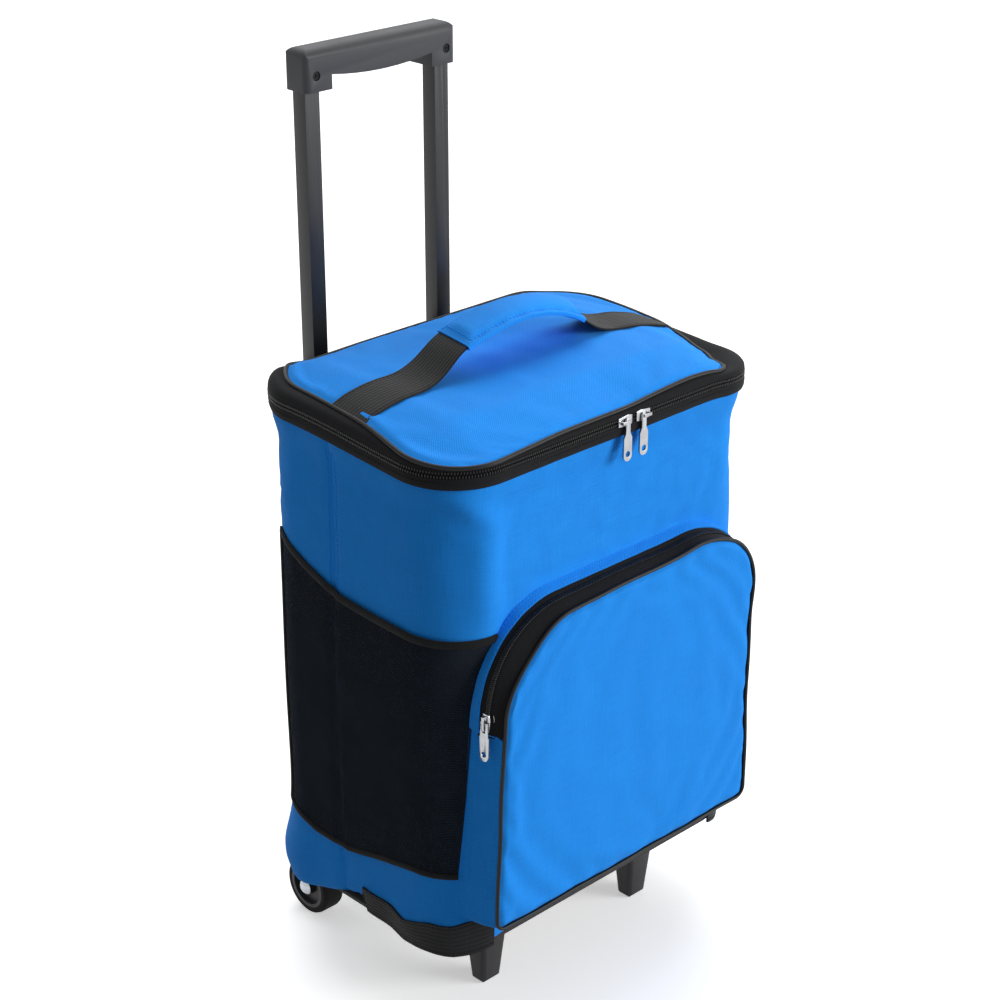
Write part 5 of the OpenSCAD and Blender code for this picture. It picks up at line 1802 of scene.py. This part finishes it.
@dataclass(frozen=True)
class FrontPocket:
    """The zipped pocket on the front. Lengths are in millimetres.

    Attributes:
        half_w: Half its width.
        low: Height of its lower edge.
        high: Height of its upper edge.
        r_low: Radius of its lower corners.
        r_high: Radius of its upper corners.
        root_y: Y of the face that it is sewn to.
        corner: X, Y and radius of the bag's rounded corner.
        strip_y: Y of the blue strip's front edge.
        tape: Y of lines along the zip tape, with their offset and share of the edge's pull.
        chain_y: Y of the two rows of teeth.
        panel_y: Y of the panel's edge.
        zip_right_z: Height of the zip's right end.
        zip_left_z: Height of its left end.
        cord_r: Radius of the piping.
        puff: How far the panel stands out in its middle.
        seam: How far the panel is sewn inside the pocket's outline.
        tooth: Pitch of the teeth.
        cloth_t: Thickness of the fabric.
        edge: X and Z of points round the pocket, and how far the panel's edge pulls in there.
        square: The same points, and how far the whole pocket stands out there, as its right shoulder does.
        drape: How the panel settles.
    """

    half_w: float = 146.0
    low: float = 99.0
    high: float = 360.0
    r_low: float = 14.0
    r_high: float = 81.0
    root_y: float = -122.0
    corner: tuple[float, float, float] = (118.0, -78.0, 45.0)
    strip_y: float = -130.5
    tape: tuple = (
        (-128.5, -3.4, 0.0), (-131.5, -4.4, 0.0), (-133.2, -6.0, 0.0), (-135.7, -6.4, 0.05),
        (-138.2, -6.0, 0.25), (-141.5, -5.2, 0.65), (-146.2, -5.2, 1.0),
    )
    chain_y: tuple[float, float] = (-134.6, -136.9)
    panel_y: float = -147.4
    zip_right_z: float = 130.0
    zip_left_z: float = 270.0
    cord_r: float = 1.5
    puff: float = 3.0
    seam: float = 5.6
    tooth: float = 1.7
    cloth_t: float = 1.0
    edge: tuple = (
        (-146, 112, 0.5), (-146, 180, 3.5), (-146, 245, 6.5), (-146, 279, 9.0), (-137, 317, 13.5),
        (-116, 342, 15.0), (-90, 356, 11.5), (-60, 360, 7.5), (0, 360, 6.0), (60, 360, 4.5), (95, 354, 3.0),
        (122, 337, 1.0), (140, 310, 1.0), (146, 279, 2.5), (146, 200, 3.0), (146, 140, 1.0), (134, 99, 0.0),
        (0, 99, 0.0),
    )
    square: tuple = (
        (60, 360, 0.0), (95, 354, 3.5), (122, 337, 8.0), (140, 310, 5.5), (146, 279, 0.0), (0, 99, 0.0),
    )
    drape: Drape = Drape(pressure=1.0, slack=0.004, cap=2.0)

    @cached_property
    def outline(self) -> Outline:
        """The pocket's outline seen from the front, as X and Z."""
        return Outline.rectangle(self.half_w, self.low, self.high, self.r_low, self.r_high)

    @cached_property
    def zip_ends(self) -> tuple[float, float]:
        """Distances along the outline of the zip's right and left ends."""
        locate = self.outline.locate
        return locate(self.half_w, self.zip_right_z), locate(-self.half_w, self.zip_left_z)

    def strip(self, s: Array, offsets: Array, depths: Array) -> Array:
        """Points at offsets from the outline and at Y depths, both in millimetres."""
        out = np.atleast_2d(offsets) + self.outline.levels(self.square, s, 30)[:, None]
        return upright(self.outline.offset(s, out), depths)

    def dent(self, s: Array) -> Array:
        """How far the panel's edge pulls in along the outline, in millimetres."""
        return self.outline.levels(self.edge, s, 60) + 0.4 * np.sin(s * 1000.0 / 13.0)

    def zipped(self, s: Array, ease: float = 5.0) -> Array:
        """1 along the zip and 0 along the plain gusset."""
        start, end = self.zip_ends
        s = np.mod(s, self.outline.length)
        return smooth(start - mm(ease), start, s) * (1 - smooth(end, end + mm(ease), s))

    def ups(self, s: Array) -> Array:
        """Outward directions along the outline."""
        return upright(self.outline.place(s)[1], 0.0)

    def build(self, shop: Workshop) -> None:
        """Makes the gusset, zip, piping and panel."""
        self.gusset(shop)
        self.zip(shop)
        self.panel(shop)

    def gusset(self, shop: Workshop) -> None:
        """The blue fabric between the bag and the zip, which is the whole side below the zip's ends."""
        s = self.outline.stations(mm(2.5))
        grid = self.strip(s, *self.side(s, np.linspace(0.0, 1.0, 12)[None]))
        piece = cloth("pocket_gusset.cloth", grid, self.cloth_t, closed=True)
        shop.fit(piece, Slot.BLUE_FABRIC, TRUNK)
        run = self.outline.stations(mm(2.0), *self.zip_ends)
        rows = []
        for share in (0.3, 0.9):
            offset, y = self.side(run, np.array([[share]]))
            rows.append((self.strip(run, offset + 0.1, y)[:, 0], self.ups(run)))
        shop.sew("pocket_gusset", Slot.BLUE_FABRIC, TRUNK, rows, thread=0.55)

    def side(self, s: Array, share: Array) -> tuple[Array, Array]:
        """Offset from the outline and Y of the gusset, in millimetres.

        Args:
            s: Distances along the outline in metres, of shape (n,).
            share: From 0 at the bag to 1 at the gusset's front edge, of shape (1, m).
        """
        s = s[:, None]
        live, a = self.zipped(s), s * 1000.0
        x, z = np.moveaxis(self.outline.place(s)[0], -1, 0) * 1000.0
        # The left side leans in, and the root follows the bag's rounded corners.
        lean = 8.0 * smooth(110.0, 262.0, z) * (1 - smooth(285.0, 340.0, z)) * (x < 0)
        x = np.abs(x)
        root = 4.6 - lean - 6.6 * smooth(230.0, 330.0, z) * smooth(90.0, 130.0, x)
        past = np.clip(x + root - self.corner[0], 0.0, self.corner[2] - 1.0)
        back = np.maximum(self.root_y, self.corner[1] - np.sqrt(self.corner[2] ** 2 - past**2) - 0.4)
        front = self.strip_y * live + (self.panel_y + 1.6) * (1 - live)
        edge = -2.6 * live - (4.6 + self.dent(s)) * (1 - live)
        gather = 0.7 * np.sin(a / 4.2 + 0.8 * np.sin(a / 11.0)) * np.sin(np.pi * share) ** 0.8
        slack = (1.6 - 0.9 * live) * np.sin(np.pi * share) + gather * (1.0 - 0.75 * live)
        return root + (edge - root) * share**0.35 + slack, back + (front - back) * share

    def zip(self, shop: Workshop) -> None:
        """The tape, its teeth and the piping."""
        start, end = self.zip_ends
        s = self.outline.stations(mm(2.5), start - mm(4), end + mm(4))
        y, offset, share = np.array(self.tape).T
        offset = offset + 0.5 * np.sin(s * 1000.0 / 19.0)[:, None] - self.dent(s)[:, None] * share
        piece = cloth("pocket_zip_tape.woven", self.strip(s, offset, y), 1.0)
        shop.fit(piece, Slot.ZIP_TAPE, TRUNK)
        rows = []
        for depth, phase in zip(self.chain_y, (0.0, 0.5)):
            s = np.arange(start + mm(1), end - mm(1), mm(self.tooth)) + phase * mm(self.tooth)
            path = self.strip(s, 0.5 * np.sin(s * 1000.0 / 19.0)[:, None] - 5.6, depth)[:, 0]
            rows.append(studs("row", path, np.array([[0.0, 1.0, 0.0]]), self.ups(s), (2.3, 1.15, 1.5)))
        shop.fit(join("pocket_zip_coil.teeth", rows), Slot.ZIP_TEETH, TRUNK)
        s = self.outline.stations(mm(2.5))
        path = self.strip(s, -5.0 - self.dent(s)[:, None], self.panel_y + 1.0)[:, 0]
        shop.fit(cord("pocket_piping.cord", path, self.cord_r), Slot.PIPING, TRUNK)

    def panel(self, shop: Workshop) -> None:
        """The front panel, whose edge turns back to the zip."""
        mid, half = (self.low + self.high) / 2, self.half_w - self.seam
        tall = (self.high - self.low) / 2 - self.seam
        z = mid + crowded(66) * tall
        reach = half
        for radius, way in ((self.r_low - self.seam, -1), (self.r_high - self.seam, 1)):
            past = np.maximum(0.0, way * (z - mid) - (tall - radius))
            reach = reach - radius + np.sqrt(np.maximum(0.0, radius**2 - past**2))
        x = crowded(70)[:, None] * reach[None]
        z = np.broadcast_to(z, x.shape)
        flat = mm(1) * np.stack([x, z], -1)
        s, normals, gap = self.outline.nearest(flat, mm(2.0))
        gap = np.maximum(0.0, gap - self.seam)
        shift = self.outline.levels(self.square, s, 30) - self.dent(s)
        flat = flat + normals * (mm(1) * shift * smooth(0.0, 1.0, 1.0 - gap / 48.0))[..., None]
        middle = (1 - np.abs(x / (half + 1)) ** 2.6) * (1 - np.abs((z - mid) / (tall + 1)) ** 2.6)
        a = s * 1000.0
        pucker = 0.5 * np.sin(a / 4.6 + 0.9 * np.sin(a / 17.0)) * bump(5.0, 7.0, gap)
        roll = 2.6 * (1 - smooth(0.0, 5.0, gap))
        folds = 0.54 * smooth(190.0, 110.0, z) * np.sin(x / 19.0 + z / 41.0) * smooth(0.0, 24.0, gap)
        y = self.panel_y - self.puff * np.clip(middle, 0, 1) ** 0.7 + roll - pucker - folds
        piece = cloth("pocket_panel.cloth", self.drape.stretch(upright(flat, y), 0.12), self.cloth_t)
        shop.fit(piece, Slot.BLUE_FABRIC, TRUNK)


@dataclass(frozen=True)
class SidePocket:
    """A netting pocket on one side with its sewn bindings. Lengths are in millimetres.

    Attributes:
        shell: The bag that it is sewn to.
        front: X, Y and height of points up its front edge, on the right side.
        rear_y: Y of its rear edge.
        rims: Y, and the heights of its lower and upper edges there.
        dip: How much lower the right pocket's upper edge ends in front.
        proud: How far the netting stands off the bag at its sewn edges and in its middle.
        binding_w: Width of a binding.
        net_t: Thickness of the netting.
    """

    shell: Shell
    front: tuple = (
        (147.5, -112.0, 142.0), (142.5, -115.5, 209.0), (139.0, -117.7, 262.0), (136.0, -119.2, 291.0),
        (119.5, -123.0, 334.0),
    )
    rear_y: float = 70.0
    rims: tuple = (
        (-123.0, 142.0, 336.0), (-81.0, 141.0, 337.0), (-44.0, 134.0, 338.5), (-8.0, 126.0, 342.0),
        (30.0, 126.0, 353.0), (60.0, 133.0, 365.0), (74.0, 139.0, 369.0),
    )
    dip: float = 32.0
    proud: tuple[float, float] = (0.8, 3.4)
    binding_w: float = 5.0
    net_t: float = 0.7

    def lines(self, side: Side, u: Array, v: Array) -> tuple[Array, Array, Array]:
        """Where points of the pocket lie.

        Args:
            side: The side of the bag.
            u: From 0 at the rear edge to 1 at the front edge, of shape (n,).
            v: From 0 at the lower edge to 1 at the upper edge, of shape (m,).

        Returns:
            Distance along the plan in metres, offset and height in millimetres, each of shape (n, m).
        """
        plan = self.shell.plan
        at = [plan.locate(side.value * x, y) for x, y, _ in self.front]
        rear = plan.locate(side.value * self.shell.half_w, self.rear_y)
        start, end = self.rims[0][1:]
        ahead = np.interp(start + (end - start) * v, [knot[2] for knot in self.front], at)
        turn = rear + (ahead - rear)[None] * u[:, None]
        y = plan.place(turn)[0][..., 1] * 1000.0
        knots, lows, highs = zip(*self.rims)
        high = np.interp(y, knots, highs) - self.dip * smooth(-55.0, -104.0, y) * (side is Side.RIGHT)
        z = np.interp(y, knots, lows) * (1 - v) + high * v
        base = self.shell.grow(turn.ravel(), z.reshape(-1, 1)).reshape(z.shape)
        edge, middle = self.proud
        ends = (smooth(0.0, 0.4, u) * smooth(0.0, 0.4, 1 - u))[:, None]
        slack = (0.55 + 0.45 * np.sin(np.pi * v))[None] * ends
        ripple = 0.4 * np.sin(z / 14.0 + turn * 60.0) * ends * np.sin(np.pi * v)[None]
        return turn, np.maximum(base, 0.0) + edge + (middle - edge) * slack + ripple, z

    def build(self, shop: Workshop, side: Side) -> None:
        """Makes the netting and its bindings."""
        u = v = np.linspace(0, 1, 48)
        right, around = side is Side.RIGHT, self.shell.around
        node = f"mesh_pocket_{side.word}"
        net = cloth(node + ".netting", around(*self.lines(side, u, v)), self.net_t, flip=right)
        shop.fit(net, Slot.BLACK_MESH, TRUNK)
        half = self.binding_w / 2
        lift = np.linspace(-half, half, 7)[None]
        bulge = 0.2 + 1.3 * np.sqrt(np.clip(1 - (lift / (half + 0.2)) ** 2, 0, 1))
        pieces = []
        for level, spread in ((1.0, 1.3), (0.0, 1.0)):
            s, g, z = self.lines(side, u, np.array([level]))
            z = z + lift * spread + 0.4 * np.sin(s * 1000.0 / 17.0)
            pieces.append(cloth("binding", around(s, g + bulge, z), 2.0, flip=right))
        s, g, z = (part.T for part in self.lines(side, np.array([0.0]), v))
        pieces.append(cloth("binding", around(s + mm(1) * lift, g + bulge, z), 1.8, flip=True))
        node = f"mesh_binding_{side.word}"
        shop.fit(join(node + ".cloth", pieces), Slot.BLACK_FABRIC, TRUNK)


@dataclass(frozen=True)
class CornerStrap:
    """Webbing sewn round a lower front corner of the bag, hanging below its fold.

    Lengths are in millimetres.

    Attributes:
        shell: The bag that it is sewn to.
        rear_y: Y of its rear end.
        front_x: Distance of its front end from the middle.
        edges: Distance from its rear end, and the heights of its lower and upper edges there.
        strap_t: Thickness of the webbing.
    """

    shell: Shell
    rear_y: float = -22.0
    front_x: float = 122.5
    edges: tuple = (
        (0.0, 91.0, 96.0), (6.0, 77.0, 95.5), (32.0, 74.5, 94.0), (46.0, 70.5, 89.0), (58.0, 71.0, 92.0),
        (71.0, 71.0, 96.0), (90.0, 69.0, 96.5), (106.0, 70.0, 100.5), (122.0, 74.0, 101.0),
    )
    strap_t: float = 1.6

    def build(self, shop: Workshop, side: Side) -> None:
        """Makes the strap."""
        shell, plan = self.shell, self.shell.plan
        rear = plan.locate(side.value * shell.half_w, self.rear_y)
        front = plan.locate(side.value * self.front_x, shell.front)
        start, end = (rear, front) if side is Side.LEFT else (front, rear)
        s = plan.stations(mm(3.0), start, end)
        gone = np.abs(s - rear)[:, None] * 1000.0
        knots, lows, highs = zip(*self.edges)
        low, high = np.interp(gone, knots, lows), np.interp(gone, knots, highs)
        share = np.linspace(0, 1, 12)[None]
        z = low + (high - low) * share
        fold, radius = shell.foot_shape(s)
        held = np.maximum(z, (fold + 0.75 * radius)[:, None])
        grid = shell.at(s, held, 2.0 + 0.5 * np.sin(gone / 9.0) * (1 - share))
        grid[..., 2] = mm(1) * z
        node = f"base_strap_{side.word}"
        shop.fit(cloth(node + ".woven", grid, self.strap_t), Slot.BLACK_WEBBING, TRUNK)
        ups = raised(plan.place(s)[1], 0.0)
        rows = [(grid[:, index] + ups * mm(0.1), ups) for index in (1, -2)]
        shop.sew(node, Slot.BLACK_WEBBING, TRUNK, rows, thread=0.6)


@dataclass(frozen=True)
class BackSleeve:
    """The fabric sleeve round the tubes, the covered board behind it and the lid's hinge strip.

    Lengths are in millimetres.

    Attributes:
        half_w: Half the sleeve's width.
        near: Y of its edge on the board.
        far: Y of its outer face.
        radii: Radius of its corners on the board and outside.
        low: Height of its lower hem.
        high: Height of its upper hem.
        hem: How far the stitches lie from the hems.
    """

    half_w: float = 84.5
    near: float = 91.2
    far: float = 145.4
    radii: tuple[float, float] = (3.0, 11.0)
    low: float = 100.0
    high: float = 430.0
    hem: float = 8.0

    def build(self, shop: Workshop) -> None:
        """Makes the sleeve, board cover and hinge."""
        outline = Outline.rectangle(self.half_w, self.near, self.far, *self.radii)
        s = outline.stations(mm(4.0))
        points, normals = outline.place(s)
        z = np.linspace(self.low, self.high, 72)[None]
        a = s[:, None] * 1000.0
        slack = 1.3 + 0.7 * np.sin(z / 33.0 + np.sin(a / 40.0)) + 0.4 * np.sin(z / 12.0 + a / 21.0)
        slack = slack * np.sin(np.pi * (z - self.low) / (self.high - self.low)) ** 0.5
        hems = (self.low + self.hem, self.high - self.hem)
        slack = slack - 0.14 * sum(bump(level, 1.6, z) for level in hems)
        grid = raised(outline.offset(s, smooth(95.0, 112.0, points[:, 1:] * 1000.0) * slack), z)
        piece = cloth("trolley_sleeve.cloth", grid, 1.4, closed=True)
        shop.fit(piece, Slot.BLACK_FABRIC, TRUNK)
        ups, grid = raised(np.concatenate([normals, normals[:1]]), 0.0), np.concatenate([grid, grid[:1]])
        rows = [(grid[:, int(np.argmin(np.abs(z[0] - level)))] + ups * mm(0.2), ups) for level in hems]
        shop.sew("trolley_sleeve", Slot.BLACK_FABRIC, TRUNK, rows)
        self.board(shop)
        self.hinge(shop)

    def board(self, shop: Workshop) -> None:
        """The stiff back board under its black cloth."""
        lo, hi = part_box("back_board")
        outline = Outline.rectangle((hi.x - lo.x) * 500.0, lo.z * 1000.0, hi.z * 1000.0, 10.0, 10.0)
        face, back = lo.y * 1000.0, hi.y * 1000.0
        half = [(-60.0, face), (-1.0, face), (0.0, face + 0.6)]
        g, y = columns(half + [(0.0, back - 0.6), (-1.0, back), (-60.0, back)])
        rings = upright(outline.offset(outline.stations(mm(5.0)), g), y)
        middle = (lo.z + hi.z) / 2
        for column in (0, 5):
            rings[:, column, 0] *= 0.02
            rings[:, column, 2] = middle + (rings[:, column, 2] - middle) * 0.6
        shop.fit(swept("back_board.cloth", rings, True), Slot.BLACK_FABRIC, TRUNK)

    def hinge(self, shop: Workshop) -> None:
        """The strip of cloth that the lid turns on."""
        lo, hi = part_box("hinge_strip")
        share = np.linspace(0, 1, 15)[None]
        xs, zs = np.linspace(hi.x, lo.x, 60)[:, None], lo.z + (hi.z - lo.z) * share
        y = hi.y - mm(0.3) + mm(0.25) * np.sin(xs * 160.0) * np.sin(np.pi * share)
        grid = np.stack(np.broadcast_arrays(xs, y, zs), -1)
        piece = cloth("hinge_strip.cloth", grid, max(0.8, (hi.y - lo.y) * 800.0))
        shop.fit(piece, Slot.BLACK_FABRIC)
        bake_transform(piece)


# ---- Assembly ----


def main() -> None:
    """Builds the cooler, piece by piece."""
    logging.basicConfig(level=logging.INFO, format="%(name)s: %(message)s")
    Studio().build()
    shop = Workshop()
    for part in (Trolley(), PullHandle(), ZipPulls()):
        part.build(shop)
    shell = Shell()
    BagBody(shell).build(shop)
    rim = Rim(shell)
    rim.build(shop)
    panel = LidTop(rim).build(shop)
    CarryHandle().build(shop, panel)
    FrontPocket().build(shop)
    for side in Side:
        SidePocket(shell).build(shop, side)
        CornerStrap(shell).build(shop, side)
    BackSleeve().build(shop)
    slump = Slump()
    for piece in shop.soft:
        slump.press(piece)


if __name__ == "__main__":
    main()
